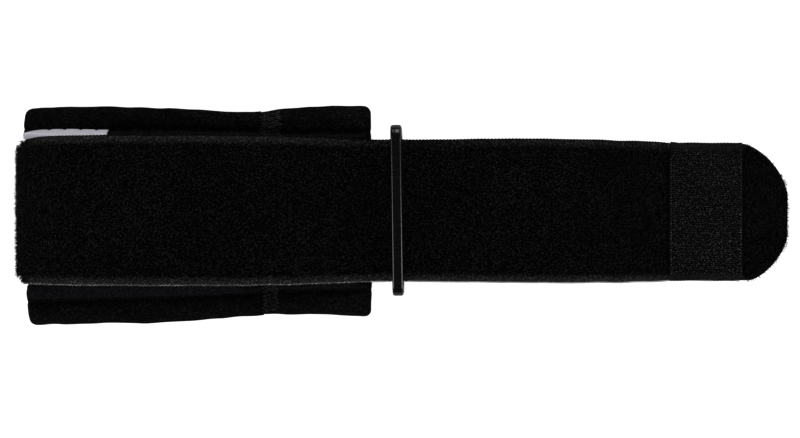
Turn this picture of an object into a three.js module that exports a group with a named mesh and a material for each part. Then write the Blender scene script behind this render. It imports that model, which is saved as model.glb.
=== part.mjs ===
// Tennis elbow strap lying flat: a padded panel with a ring at one end, and one loop-pile tape
// that runs under the pad, turns up round its far end, comes back over it and goes on through the
// ring to a rounded tip with a hook tab. Millimetres, +Z up, X along the strap.
// The ring's lower bar stands over X = 0 until the whole is centred at the end of the file.
import * as THREE from 'three';

const { degToRad, lerp, smoothstep } = THREE.MathUtils;

// Room left between pieces that touch
const SEAT = 0.3;

// Loop-pile tape
const TAPE_WIDTH = 50;
const TAPE_BASE = 1;
const PILE_HEIGHT = 1.6;
const SELVEDGE = 2.4;
const PILE_SHOULDER = 2;

// Pad of two panels, joined by a cross seam
const PAD_LENGTH = 122.8;
const PAD_WIDTH = 77.4;
const PAD_SETBACK = 10;
const BAND_LOFT = 5.2;
const BORDER_LOFT = 5.6;
const CHANNEL_LOFT = 3.2;
const PAD_EDGE = 0.8;
const PAD_ROLL = 5;
const BORDER_SAG = 0.9;
const PAD_DRAW_IN = 1.9;
const SEAM_GAP = 0.4;
const PAD_TURN = degToRad(0.8);

// Lining over the middle of the pad, and the label sewn on it
const LINING_THICKNESS = 1.1;
const LINING_INSET = 0.9;
const LABEL_LENGTH = 29;
const LABEL_WIDTH = 24;
const LABEL_THICKNESS = 0.4;
const LABEL_INSET = 1.6;

// Rectangular ring, standing on edge
const RING_BAR = 3.5;
const RING_BEVEL = 0.8;
const RING_CORNER = 3;
const RING_SIDE_PLAY = 2.4;
const RING_SLOT_PLAY = 3.1;
const RING_LEAN = degToRad(3);

// Where the tape's end is folded round the ring's lower bar
const LOOP_EASE = 0.7;
const LOOP_PILE = 0.35;
const FOLD_BACK = 9.2;
const FLATTEN_RUN = 14;
const WRAP_START = degToRad(150);
const RING_WIDTH_SHARE = 0.99;

// Fold of the tape round the far end of the pad, and the room under the tape for the arm
const FOLD_RADIUS = 4;
const FOLD_EASE = 1.3;
const FOLD_LEAN = degToRad(20);
const ARM_ROOM = 13.3;

// Free end of the tape
const TAIL_LENGTH = 139.7;
const TAIL_RISE = 12.4;
const TIP_LENGTH = 16.2;
const TIP_ROUNDNESS = 1.5;
const TIP_BARE = 0.3;

// Hook tab on the tape's free end
const TAB_LENGTH = 26.4;
const TAB_BASE = 0.9;
const HOOK_HEIGHT = 0.6;
const TAB_SELVEDGE = 2.9;
const TAB_SHOULDER = 0.8;
const TAB_PILE = 0.4;

// Tape over the pad, from the fold to the ring: how far it is from the ring as a share of the
// loop's length, and its rise as a share of the way from its level in the ring to its crown
const OVER_PAD = [
  { along: 0.975, rise: 0.5, width: 1 },
  { along: 0.92, rise: 0.82, width: 1.005 },
  { along: 0.83, rise: 0.945, width: 1.01 },
  { along: 0.64, rise: 1, width: 1.012 },
  { along: 0.45, rise: 0.975, width: 1.012 },
  { along: 0.33, rise: 0.86, width: 1.008 },
  { along: 0.23, rise: 0.54, width: 1.004 },
  { along: 0.155, rise: 0.27, width: 0.998 },
  { along: 0.085, rise: 0.07, width: 0.992 },
  { along: 0, rise: 0, width: RING_WIDTH_SHARE },
];

// Tape past the ring, as shares of the free stretch before the hook tab and of the tail's rise
const TAIL = [
  { along: 0.16, rise: 0.78, width: 0.993 },
  { along: 0.31, rise: 0.93, width: 0.995 },
  { along: 0.46, rise: 1, width: 0.997 },
  { along: 0.61, rise: 0.88, width: 0.999 },
  { along: 0.75, rise: 0.6, width: 1 },
  { along: 0.88, rise: 0.24, width: 1 },
  { along: 0.96, rise: 0.04, width: 0.998 },
];

// Width of the tape where the hook tab is sewn on, and how far it drifts to one side there
const TAB_WIDTH_SHARE = 0.985;
const TAB_DRIFT_SHARE = -0.008;

// Cut corners of the tip, as shares of the tip's length and of half the tape's width
const TIP_CORNERS = {
  upper: { length: 0.957, depth: 0.68 },
  lower: { length: 0.82, depth: 0.585 },
};

// Outline of the pad from its far end to its ring end: half widths, and the place of the sewn
// channels, as shares of half the pad's width
const PAD_OUTLINE = [
  { along: 0, upper: 0.985, lower: 1, channel: 0.79 },
  { along: 0.05, upper: 0.99, lower: 1.007, channel: 0.785 },
  { along: 0.2, upper: 0.998, lower: 1, channel: 0.78 },
  { along: 0.38, upper: 0.976, lower: 1.002, channel: 0.775 },
  { along: 0.5, upper: 0.953, lower: 0.985, channel: 0.765 },
  { along: 0.6, upper: 0.935, lower: 0.965, channel: 0.755 },
  { along: 0.66, upper: 0.927, lower: 0.95, channel: 0.75 },
  { along: 0.7, upper: 0.935, lower: 0.942, channel: 0.735 },
  { along: 0.78, upper: 0.957, lower: 0.941, channel: 0.725 },
  { along: 0.88, upper: 0.967, lower: 0.948, channel: 0.725 },
  { along: 0.95, upper: 0.963, lower: 0.97, channel: 0.725 },
  { along: 1, upper: 0.955, lower: 0.976, channel: 0.725 },
];

// The two panels of the pad, as shares of its length, with the radius of the corners at each end
// and how thin each end is sewn down
const PANELS = [
  { name: '', from: 0, to: 0.69, corners: [4.2, 0.6], thinned: [0.25, 0.55], rows: 22 },
  { name: '_end', from: 0.69, to: 1, corners: [0.6, 3.6], thinned: [0.55, 0.3], rows: 14 },
];

// How full the pad's border is rolled, how flat its band stays up to the channels, and how far
// under the border its edge is rounded, as a share of the border
const BORDER_FULLNESS = 0.6;
const BAND_FLATNESS = 8;
const BORDER_UNDERCUT = 0.5;

// Where the raised field of a tape turns over at its edge, as shares of its shoulder and height
const SHOULDER_TURN = { inset: 0.35, height: 0.75 };

// Steps along each stretch of the tape
const STEPS = { foldBack: 6, wrap: 14, run: 10, fold: 8, knot: 3, tip: 12 };

// Columns of points across a panel: on the border from outline to channel, then on the band
const BORDER_COLUMNS = [0, 0.07, 0.2, 0.4, 0.62, 0.84];
const BAND_COLUMNS = [1, 0.955, 0.9, 0.84, 0.78, 0.6, 0.3];

// Levels and places worked out from the sizes above
const tapeThickness = TAPE_BASE + PILE_HEIGHT;
const loopThickness = TAPE_BASE + PILE_HEIGHT * LOOP_PILE;
const loopRadius = RING_BAR / 2 + LOOP_EASE + (TAPE_WIDTH / 2) * Math.sin(PAD_TURN);
const barLevel = loopThickness + loopRadius;
const ringLevel = barLevel + loopRadius + loopThickness + SEAT;
const slotHeight = ringLevel - (barLevel + RING_BAR / 2) + tapeThickness + RING_SLOT_PLAY;
const padLevel = tapeThickness + SEAT;
const liningTop = padLevel + BAND_LOFT + SEAT + LINING_THICKNESS;
const crownLevel = liningTop + ARM_ROOM;
const padFar = -(PAD_SETBACK + PAD_LENGTH);
const foldFar = padFar + PAD_DRAW_IN - FOLD_EASE;
const tabEnd = TAIL_LENGTH - TIP_LENGTH;
const tabStart = tabEnd - TAB_LENGTH;
const tabLevel = TAPE_BASE + PILE_HEIGHT * TAB_PILE + SEAT;

function material(color, roughness) {
  return new THREE.MeshStandardMaterial({ color, roughness, metalness: 0 });
}

const pileCloth = material(0x0a0a0c, 0.95);
const hookCloth = material(0x141417, 0.7);
const padCloth = material(0x0c0b0e, 0.9);
const liningCloth = material(0x16161b, 0.85);
const labelCloth = material(0xcdcbda, 0.6);
const ringPlastic = material(0x0b0b0c, 0.25);

// One closed body between two grids of points: outer faces the way rows x columns points, and
// inner lies under it with as many rows and columns
function slab(outer, inner) {
  const rows = outer.length;
  const columns = outer[0].length;
  const positions = [...outer.flat(), ...inner.flat()].flatMap((point) => point.toArray());
  const out = (row, column) => row * columns + column;
  const within = (row, column) => rows * columns + out(row, column);
  const index = [];
  const quad = (a, b, c, d) => index.push(a, b, c, a, c, d);
  for (let r = 0; r + 1 < rows; r += 1) {
    for (let c = 0; c + 1 < columns; c += 1) {
      quad(out(r, c), out(r + 1, c), out(r + 1, c + 1), out(r, c + 1));
      quad(within(r, c), within(r, c + 1), within(r + 1, c + 1), within(r + 1, c));
    }
    const last = columns - 1;
    quad(out(r, 0), within(r, 0), within(r + 1, 0), out(r + 1, 0));
    quad(out(r, last), out(r + 1, last), within(r + 1, last), within(r, last));
  }
  for (let c = 0; c + 1 < columns; c += 1) {
    const last = rows - 1;
    quad(out(0, c), out(0, c + 1), within(0, c + 1), within(0, c));
    quad(out(last, c), within(last, c), within(last, c + 1), out(last, c + 1));
  }
  const geometry = new THREE.BufferGeometry();
  geometry.setAttribute('position', new THREE.Float32BufferAttribute(positions, 3));
  geometry.setIndex(index);
  geometry.computeVertexNormals();
  return geometry;
}

// Value of a table's column at a share along it, smooth between the rows
function tableAt(table, column, along) {
  const next = table.findIndex((row) => row.along > along);
  if (next < 0) return table[table.length - 1][column];
  if (next === 0) return table[0][column];
  const [a, b] = [table[next - 1], table[next]];
  const before = table[next - 2] ?? a;
  const after = table[next + 1] ?? b;
  const span = b.along - a.along;
  const slopeIn = ((b[column] - before[column]) / (b.along - before.along)) * span;
  const slopeOut = ((after[column] - a[column]) / (after.along - a.along)) * span;
  const t = (along - a.along) / span;
  const rise = b[column] - a[column];
  const turn = slopeIn + slopeOut - 2 * rise;
  return a[column] + t * (slopeIn + t * (rise - slopeIn - turn + t * turn));
}

// How full a rounded edge is, from 0 at the edge itself to 1 at its radius and further in
function rounded(distance, radius) {
  const short = 1 - Math.min(distance / radius, 1);
  return Math.sqrt(1 - short * short);
}

// Shares from 0 to 1 that lie closer together at both ends
function crowded(count) {
  return Array.from({ length: count + 1 }, (_, i) => (1 - Math.cos((Math.PI * i) / count)) / 2);
}

// Stations of the tape on its inner face, from the end sewn down behind the ring to the tip.
// x and z place the inner face; width, pile, bare and drift say how the tape is there.
function tapeStations() {
  const stations = [];
  const add = (x, z, values) => {
    const tape = { width: 1, pile: 1, bare: SELVEDGE, drift: 0, upper: 0, lower: 0 };
    stations.push({ x, z, ...tape, ...values });
  };

  // Folded end, from its cut edge over the ring's bar, round it and back under it
  const foldBackLevel = loopThickness + SEAT;
  const wrap = new THREE.Vector2(Math.cos(WRAP_START), Math.sin(WRAP_START));
  const onto = wrap.clone().multiplyScalar(loopRadius).add(new THREE.Vector2(0, barLevel));
  const lead = new THREE.Vector2(-wrap.y, wrap.x).multiplyScalar(loopRadius);
  const loopEnd = new THREE.CubicBezierCurve(
    new THREE.Vector2(-FOLD_BACK, foldBackLevel),
    new THREE.Vector2(-(FOLD_BACK + loopRadius) / 2, foldBackLevel),
    onto.clone().add(lead),
    onto,
  );
  const around = new THREE.ArcCurve(0, barLevel, loopRadius, WRAP_START, -Math.PI / 2, true);
  const crushed = { width: RING_WIDTH_SHARE, pile: LOOP_PILE };
  for (const point of loopEnd.getPoints(STEPS.foldBack).slice(0, -1)) add(point.x, point.y, crushed);
  for (const point of around.getPoints(STEPS.wrap)) add(point.x, point.y, crushed);

  // Run under the pad, with its pile on the table
  const foldCentre = foldFar + FOLD_RADIUS;
  const flat = -FOLD_BACK - FLATTEN_RUN;
  for (let i = 1; i <= STEPS.run; i += 1) {
    const x = lerp(0, foldCentre, i / STEPS.run);
    const pile = lerp(1, LOOP_PILE, smoothstep(x, flat, -FOLD_BACK));
    add(x, TAPE_BASE + PILE_HEIGHT * pile, { pile });
  }

  // Fold round the far end of the pad
  const fold = new THREE.ArcCurve(
    foldCentre, tapeThickness + FOLD_RADIUS, FOLD_RADIUS, -Math.PI / 2, Math.PI - FOLD_LEAN, true,
  );
  for (const point of fold.getPoints(STEPS.fold).slice(1)) add(point.x, point.y, {});

  // Over the pad, through the ring and along the tail to where the hook tab begins
  const knots = [
    stations[stations.length - 1],
    ...OVER_PAD.map(({ along, rise, width }) => (
      { x: foldFar * along, z: lerp(ringLevel, crownLevel, rise), width })),
    ...TAIL.map(({ along, rise, width }) => (
      { x: tabStart * along, z: TAIL_RISE * rise, width })),
    { x: tabStart, z: 0, width: TAB_WIDTH_SHARE },
  ];
  const route = new THREE.CatmullRomCurve3(
    knots.map(({ x, z }) => new THREE.Vector3(x, 0, z)), false, 'centripetal',
  );
  const spans = knots.length - 1;
  for (let i = 1; i <= spans * STEPS.knot; i += 1) {
    const at = i / STEPS.knot;
    const point = route.getPoint(at / spans);
    const from = Math.min(Math.floor(at), spans - 1);
    const width = lerp(knots[from].width, knots[from + 1].width, at - from);
    const drift = TAB_DRIFT_SHARE * TAPE_WIDTH * smoothstep(point.x, 0, tabStart);
    const pile = lerp(1, TAB_PILE, smoothstep(point.x, tabStart - PILE_SHOULDER, tabStart));
    add(point.x, Math.max(point.z, 0), { width, pile, drift });
  }

  // Flat end under the hook tab, then the tip with its cut corners
  const drift = TAB_DRIFT_SHARE * TAPE_WIDTH;
  const end = { width: TAB_WIDTH_SHARE, drift };
  add(lerp(tabStart, tabEnd, 0.5), 0, { ...end, pile: TAB_PILE });
  add(tabEnd, 0, { ...end, pile: TAB_PILE });
  for (let i = 1; i <= STEPS.tip; i += 1) {
    const along = Math.sin((Math.PI / 2) * (i / STEPS.tip));
    const bare = lerp(SELVEDGE, TIP_BARE, smoothstep(along, 0, 0.5));
    const pile = lerp(TAB_PILE, 1, smoothstep(along * TIP_LENGTH, 0, PILE_SHOULDER));
    const upper = cutDepth(along, TIP_CORNERS.upper);
    const lower = cutDepth(along, TIP_CORNERS.lower);
    add(tabEnd + along * TIP_LENGTH, 0, { ...end, bare, pile, upper, lower });
  }
  return stations;
}

// How much of half the tape's width a tip corner has taken off at a share along the tip
function cutDepth(along, corner) {
  const past = Math.max(along - (1 - corner.length), 0) / corner.length;
  const left = Math.pow(1 - Math.pow(Math.min(past, 1), TIP_ROUNDNESS), 1 / TIP_ROUNDNESS);
  return corner.depth * (1 - left);
}

// Places across a tape from its low to its high edge, with bare edges and a raised field between:
// where each is, and how thick the tape is there
function tapeAcross(low, high, bare, base, field, shoulder) {
  const columns = [
    { inset: 0, height: base },
    { inset: bare, height: base },
    { inset: bare + shoulder * SHOULDER_TURN.inset, height: base + field * SHOULDER_TURN.height },
    { inset: bare + shoulder, height: base + field },
  ];
  return [
    ...columns.map(({ inset, height }) => ({ y: low + inset, height })),
    ...columns.map(({ inset, height }) => ({ y: high - inset, height })).reverse(),
  ];
}

function strap() {
  const stations = tapeStations();
  const outer = [];
  const inner = [];
  stations.forEach((station, i) => {
    const before = stations[Math.max(i - 1, 0)];
    const after = stations[Math.min(i + 1, stations.length - 1)];
    const run = new THREE.Vector3(after.x - before.x, 0, after.z - before.z).normalize();
    const out = new THREE.Vector3(-run.z, 0, run.x);
    const half = (TAPE_WIDTH / 2) * station.width;
    const low = station.drift - half * (1 - station.lower);
    const high = station.drift + half * (1 - station.upper);
    const across = tapeAcross(
      low, high, station.bare, TAPE_BASE, PILE_HEIGHT * station.pile, PILE_SHOULDER);
    inner.push(across.map(({ y }) => new THREE.Vector3(station.x, y, station.z)));
    outer.push(across.map(({ y, height }) => (
      new THREE.Vector3(station.x, y, station.z).addScaledVector(out, height))));
  });
  const mesh = new THREE.Mesh(slab(outer, inner), pileCloth);
  mesh.name = 'strap';
  return mesh;
}

function hookTab() {
  const half = (TAPE_WIDTH / 2) * TAB_WIDTH_SHARE;
  const drift = TAB_DRIFT_SHARE * TAPE_WIDTH;
  const rows = [
    { x: tabStart, field: 0 },
    { x: tabStart + TAB_SHOULDER, field: 1 },
    { x: tabEnd - TAB_SHOULDER, field: 1 },
    { x: tabEnd, field: 0 },
  ];
  const outer = [];
  const inner = [];
  for (const { x, field } of rows) {
    const across = tapeAcross(
      drift - half, drift + half, TAB_SELVEDGE, TAB_BASE, HOOK_HEIGHT * field, TAB_SHOULDER);
    inner.push(across.map(({ y }) => new THREE.Vector3(x, y, tabLevel)));
    outer.push(across.map(({ y, height }) => new THREE.Vector3(x, y, tabLevel + height)));
  }
  const mesh = new THREE.Mesh(slab(outer, inner), hookCloth);
  mesh.name = 'hook_tab';
  return mesh;
}

// Rectangle with rounded corners, drawn about a centre
function roundedRectangle(Outline, width, height, corner, centreY) {
  const outline = new Outline();
  const [x, y] = [width / 2 - corner, height / 2 - corner];
  outline.moveTo(x, centreY - height / 2);
  outline.absarc(x, centreY - y, corner, -Math.PI / 2, 0, false);
  outline.absarc(x, centreY + y, corner, 0, Math.PI / 2, false);
  outline.absarc(-x, centreY + y, corner, Math.PI / 2, Math.PI, false);
  outline.absarc(-x, centreY - y, corner, Math.PI, 1.5 * Math.PI, false);
  return outline;
}

// Ring about its lower bar's axis, which lies along Y; the slot stands over that bar
function ring() {
  const slotLength = TAPE_WIDTH + RING_SIDE_PLAY;
  const slotCentre = RING_BAR / 2 + slotHeight / 2;
  const grown = 2 * (RING_BAR - RING_BEVEL);
  const outline = roundedRectangle(
    THREE.Shape, slotLength + grown, slotHeight + grown, RING_CORNER, slotCentre);
  outline.holes.push(roundedRectangle(
    THREE.Path, slotLength + 2 * RING_BEVEL, slotHeight + 2 * RING_BEVEL, RING_CORNER / 2, slotCentre));
  const geometry = new THREE.ExtrudeGeometry(outline, {
    depth: RING_BAR - 2 * RING_BEVEL,
    steps: 1,
    curveSegments: 4,
    bevelThickness: RING_BEVEL,
    bevelSize: RING_BEVEL,
    bevelSegments: 2,
  });
  geometry.translate(0, 0, RING_BEVEL - RING_BAR / 2);
  // The outline's x and y become the ring's length along Y and its height along Z
  geometry.rotateX(Math.PI / 2).rotateZ(Math.PI / 2);
  const mesh = new THREE.Mesh(geometry, ringPlastic);
  mesh.name = 'ring';
  mesh.position.set(0, 0, barLevel);
  mesh.rotation.y = -RING_LEAN;
  return mesh;
}

// The pad at a distance along it from its far end: half widths to each side, and to the channels
function padAt(along) {
  const half = PAD_WIDTH / 2;
  const share = along / PAD_LENGTH;
  return {
    upper: half * tableAt(PAD_OUTLINE, 'upper', share),
    lower: half * tableAt(PAD_OUTLINE, 'lower', share),
    channel: half * tableAt(PAD_OUTLINE, 'channel', share),
  };
}

// Shape of a panel at a point: how far its top and underside stand from the level of its edge.
// border runs from 0 on the outline to 1 on the channel and over the band; end is how full the
// panel is for its distance from the panel's own ends.
function padSection(border, bandShare, aside, end) {
  const middle = padLevel + CHANNEL_LOFT / 2 + PAD_EDGE;
  const roll = Math.pow(Math.sin(Math.PI * Math.min(border, 1)), BORDER_FULLNESS);
  const onBorder = lerp(middle + PAD_EDGE / 2, padLevel + CHANNEL_LOFT, border);
  const onBand = lerp(padLevel + BAND_LOFT, padLevel + CHANNEL_LOFT, Math.pow(bandShare, BAND_FLATNESS));
  const top = border < 1 ? lerp(onBorder, padLevel + BORDER_LOFT, roll) : onBand;
  const under = lerp(middle - PAD_EDGE / 2, padLevel, rounded(border, BORDER_UNDERCUT));
  const sag = BORDER_SAG * smoothstep(aside, TAPE_WIDTH / 2, PAD_WIDTH / 2);
  return {
    top: middle + Math.max((top - middle) * end, PAD_EDGE / 2) - sag,
    under: middle - Math.max((middle - under) * end, PAD_EDGE / 2) - sag,
  };
}

// How far the pad's far end is drawn in behind the fold of the tape, which the pad's turn sets
// a little aside of the pad's own middle
function drawnIn(along, y) {
  const aside = Math.abs(y + padFar * Math.sin(PAD_TURN));
  const tapeEdge = TAPE_WIDTH / 2 + 2 * SEAT;
  const behindTape = 1 - smoothstep(aside, tapeEdge, tapeEdge + PAD_DRAW_IN);
  return PAD_DRAW_IN * behindTape * (1 - smoothstep(along, 0, 3 * PAD_ROLL));
}

// Ends of a panel along the pad, with half the seam's gap taken off where the panels meet
function panelEnds(panel) {
  return {
    from: panel.from * PAD_LENGTH + (panel.from > 0 ? SEAM_GAP / 2 : 0),
    to: panel.to * PAD_LENGTH - (panel.to < 1 ? SEAM_GAP / 2 : 0),
  };
}

// How full a panel is at a distance along the pad, sewn thin at its two ends
function panelFullness(panel, along) {
  const { from, to } = panelEnds(panel);
  const [thinFrom, thinTo] = panel.thinned;
  const start = lerp(thinFrom, 1, rounded(along - from, PAD_ROLL));
  const end = lerp(thinTo, 1, rounded(to - along, PAD_ROLL));
  return Math.min(start, end);
}

function padPanel(panel) {
  const { from, to } = panelEnds(panel);
  const outer = [];
  const inner = [];
  for (const share of crowded(panel.rows)) {
    const along = lerp(from, to, share);
    const half = padAt(along);
    const [cornerFrom, cornerTo] = panel.corners;
    const cut = cornerFrom * (1 - rounded(along - from, cornerFrom))
      + cornerTo * (1 - rounded(to - along, cornerTo));
    const full = panelFullness(panel, along);
    const side = (sign, width) => [
      ...BORDER_COLUMNS.map((border) => (
        { y: sign * lerp(width - cut, half.channel, border), border, band: 1 })),
      ...BAND_COLUMNS.map((band) => ({ y: sign * half.channel * band, border: 1, band })),
    ];
    const across = [
      ...side(-1, half.lower),
      { y: 0, border: 1, band: 0 },
      ...side(1, half.upper).reverse(),
    ];
    const top = [];
    const under = [];
    for (const { y, border, band } of across) {
      const section = padSection(border, band, Math.abs(y), full);
      const x = padFar + along + drawnIn(along, y);
      top.push(new THREE.Vector3(x, y, section.top));
      under.push(new THREE.Vector3(x, y, section.under));
    }
    outer.push(top);
    inner.push(under);
  }
  const mesh = new THREE.Mesh(slab(outer, inner), padCloth);
  mesh.name = `pad${panel.name}`;
  return mesh;
}

// Height of the panel's top at a place on its band
function bandTop(panel, along, y) {
  const band = Math.abs(y) / padAt(along).channel;
  return padSection(1, band, Math.abs(y), panelFullness(panel, along)).top;
}

// A thin layer over the band of a panel, between two distances along the pad, raised by a lift
function layer(panel, from, to, rows, columns, thickness, lift, sides) {
  const outer = [];
  const inner = [];
  for (const share of crowded(rows)) {
    const along = lerp(from, to, share);
    const [low, high] = sides(along);
    const top = [];
    const under = [];
    for (const across of crowded(columns)) {
      const y = lerp(low, high, across);
      const x = padFar + along + drawnIn(along, y);
      const z = bandTop(panel, along, y) + lift;
      under.push(new THREE.Vector3(x, y, z));
      top.push(new THREE.Vector3(x, y, z + thickness));
    }
    outer.push(top);
    inner.push(under);
  }
  return slab(outer, inner);
}

function lining(panel) {
  const { from, to } = panelEnds(panel);
  const sides = (along) => {
    const half = padAt(along).channel - LINING_INSET;
    return [-half, half];
  };
  const geometry = layer(
    panel, from + LINING_INSET, to - LINING_INSET, panel.rows, 12, LINING_THICKNESS, SEAT, sides);
  const mesh = new THREE.Mesh(geometry, liningCloth);
  mesh.name = `lining${panel.name}`;
  return mesh;
}

function label() {
  const sides = (along) => {
    const high = padAt(along).channel - LINING_INSET;
    return [high - LABEL_WIDTH, high];
  };
  const lift = SEAT + LINING_THICKNESS + SEAT;
  const geometry = layer(
    PANELS[0], LABEL_INSET, LABEL_INSET + LABEL_LENGTH, 12, 8, LABEL_THICKNESS, lift, sides);
  const mesh = new THREE.Mesh(geometry, labelCloth);
  mesh.name = 'label';
  return mesh;
}

// The pad and the ring lie turned a little against the tape
const turned = new THREE.Group();
turned.rotation.z = PAD_TURN;
for (const panel of PANELS) turned.add(padPanel(panel), lining(panel));
turned.add(label(), ring());

const model = new THREE.Group();
model.add(turned, strap(), hookTab());

// The whole is centred over the table, standing on it
const bounds = new THREE.Box3().setFromObject(model, true);
const centre = bounds.getCenter(new THREE.Vector3());
model.position.set(-centre.x, -centre.y, -bounds.min.z);

export default model;
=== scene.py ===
"""Tennis elbow strap lying flat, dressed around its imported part.

Shapes are worked out in the part's own millimetres, with the ring's lower bar over X = 0, +Z up
and X along the strap. place() turns and moves them into the row frame, in metres.
"""

import math

import bpy
import numpy as np
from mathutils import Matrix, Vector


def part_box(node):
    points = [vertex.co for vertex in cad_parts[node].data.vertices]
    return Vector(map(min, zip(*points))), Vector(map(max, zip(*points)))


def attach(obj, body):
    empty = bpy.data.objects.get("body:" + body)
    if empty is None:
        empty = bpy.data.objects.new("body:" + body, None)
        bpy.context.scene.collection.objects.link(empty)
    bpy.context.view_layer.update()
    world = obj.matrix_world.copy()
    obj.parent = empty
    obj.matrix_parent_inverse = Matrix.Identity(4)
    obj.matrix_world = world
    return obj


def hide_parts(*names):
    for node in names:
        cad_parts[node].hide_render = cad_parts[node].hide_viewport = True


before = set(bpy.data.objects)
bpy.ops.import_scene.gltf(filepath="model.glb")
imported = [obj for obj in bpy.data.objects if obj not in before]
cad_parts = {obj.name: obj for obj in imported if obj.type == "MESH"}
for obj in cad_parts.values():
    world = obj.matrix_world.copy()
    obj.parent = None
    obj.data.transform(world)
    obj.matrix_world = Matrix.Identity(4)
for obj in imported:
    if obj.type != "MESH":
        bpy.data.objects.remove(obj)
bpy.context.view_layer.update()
MM = 0.001

# Sizes of the part, as its source has them, but for a few that are fitted to the photo here: the
# channels' loft, the ring's lean, the borders' fullness, the pad's outline at its ring end and
# its corners
SEAT = 0.3
TAPE_WIDTH = 50
TAPE_BASE = 1
PILE_HEIGHT = 1.6
SELVEDGE = 2.4
PILE_SHOULDER = 2
PAD_LENGTH = 122.8
PAD_WIDTH = 77.4
PAD_SETBACK = 10
BAND_LOFT = 5.2
BORDER_LOFT = 5.6
CHANNEL_LOFT = 4.5
PAD_EDGE = 0.8
PAD_ROLL = 5
BORDER_SAG = 0.9
PAD_DRAW_IN = 1.9
PAD_TURN = math.radians(0.8)
LINING_THICKNESS = 1.1
LINING_INSET = 0.9
LABEL_LENGTH = 29
LABEL_WIDTH = 24
LABEL_THICKNESS = 0.4
LABEL_INSET = 1.6
RING_BAR = 3.5
RING_BEVEL = 0.8
RING_CORNER = 3
RING_SIDE_PLAY = 2.4
RING_SLOT_PLAY = 3.1
RING_LEAN = math.radians(1.8)
LOOP_EASE = 0.7
LOOP_PILE = 0.35
FOLD_BACK = 9.2
FLATTEN_RUN = 14
WRAP_START = math.radians(150)
RING_WIDTH_SHARE = 0.99
FOLD_RADIUS = 4
FOLD_EASE = 1.3
FOLD_LEAN = math.radians(20)
ARM_ROOM = 13.3
TAIL_LENGTH = 139.7
TAIL_RISE = 12.4
TIP_LENGTH = 16.2
TIP_ROUNDNESS = 1.5
TIP_BARE = 0.3
TAB_LENGTH = 26.4
TAB_BASE = 0.9
HOOK_HEIGHT = 0.6
TAB_SELVEDGE = 2.9
TAB_SHOULDER = 0.8
TAB_PILE = 0.4
TAB_WIDTH_SHARE = 0.985
TAB_DRIFT = -0.008 * TAPE_WIDTH

# Tape over the pad and past the ring: share along, share of the rise, share of the width
OVER_PAD = np.array([
    (0.975, 0.5, 1), (0.92, 0.82, 1.005), (0.83, 0.945, 1.01), (0.64, 1, 1.012),
    (0.45, 0.975, 1.012), (0.33, 0.86, 1.008), (0.23, 0.54, 1.004), (0.155, 0.27, 0.998),
    (0.085, 0.07, 0.992), (0, 0, RING_WIDTH_SHARE),
])
TAIL = np.array([
    (0.16, 0.78, 0.993), (0.31, 0.93, 0.995), (0.46, 1, 0.997), (0.61, 0.88, 0.999),
    (0.75, 0.6, 1), (0.88, 0.24, 1), (0.96, 0.04, 0.998),
])
TIP_CORNERS = {"upper": (0.957, 0.68), "lower": (0.82, 0.585)}

# Outline of the pad: share along, half widths to +Y and -Y and to the channels
PAD_OUTLINE = np.array([
    (0, 0.985, 1, 0.79), (0.05, 0.99, 1.007, 0.785), (0.2, 0.998, 1, 0.78),
    (0.38, 0.976, 1.002, 0.775), (0.5, 0.953, 0.985, 0.765), (0.6, 0.935, 0.965, 0.755),
    (0.66, 0.927, 0.95, 0.75), (0.7, 0.935, 0.942, 0.735), (0.78, 0.957, 0.941, 0.725),
    (0.88, 0.97, 0.948, 0.725), (0.95, 0.972, 0.97, 0.725), (1, 0.968, 0.976, 0.725),
])
PANELS = {
    "pad": {"from": 0, "to": 0.69, "corners": (2.8, 0.6), "thinned": (0.25, 0.55), "rows": 62},
    "pad_end": {"from": 0.69, "to": 1, "corners": (0.6, 2.6), "thinned": (0.55, 0.3), "rows": 32},
}
BORDER_FULLNESS = 0.45
BAND_FLATNESS = 8
BORDER_UNDERCUT = 0.5

# Levels and places worked out from the sizes above
TAPE_THICKNESS = TAPE_BASE + PILE_HEIGHT
LOOP_THICKNESS = TAPE_BASE + PILE_HEIGHT * LOOP_PILE
LOOP_RADIUS = RING_BAR / 2 + LOOP_EASE + TAPE_WIDTH / 2 * math.sin(PAD_TURN)
BAR_LEVEL = LOOP_THICKNESS + LOOP_RADIUS
RING_LEVEL = BAR_LEVEL + LOOP_RADIUS + LOOP_THICKNESS + SEAT
SLOT_HEIGHT = RING_LEVEL - (BAR_LEVEL + RING_BAR / 2) + TAPE_THICKNESS + RING_SLOT_PLAY
PAD_LEVEL = TAPE_THICKNESS + SEAT
CROWN_LEVEL = PAD_LEVEL + BAND_LOFT + SEAT + LINING_THICKNESS + ARM_ROOM
PAD_FAR = -(PAD_SETBACK + PAD_LENGTH)
FOLD_FAR = PAD_FAR + PAD_DRAW_IN - FOLD_EASE
TAB_END = TAIL_LENGTH - TIP_LENGTH
TAB_START = TAB_END - TAB_LENGTH
TAB_LEVEL = TAPE_BASE + PILE_HEIGHT * TAB_PILE + SEAT
SEAM_ALONG = PANELS["pad"]["to"] * PAD_LENGTH

# Where the part's millimetres lie in the row frame
TAB_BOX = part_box("hook_tab")
SHIFT = np.array([
    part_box("strap")[1].x / MM - TAIL_LENGTH, (TAB_BOX[0].y + TAB_BOX[1].y) / 2 / MM - TAB_DRIFT, 0,
])

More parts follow.
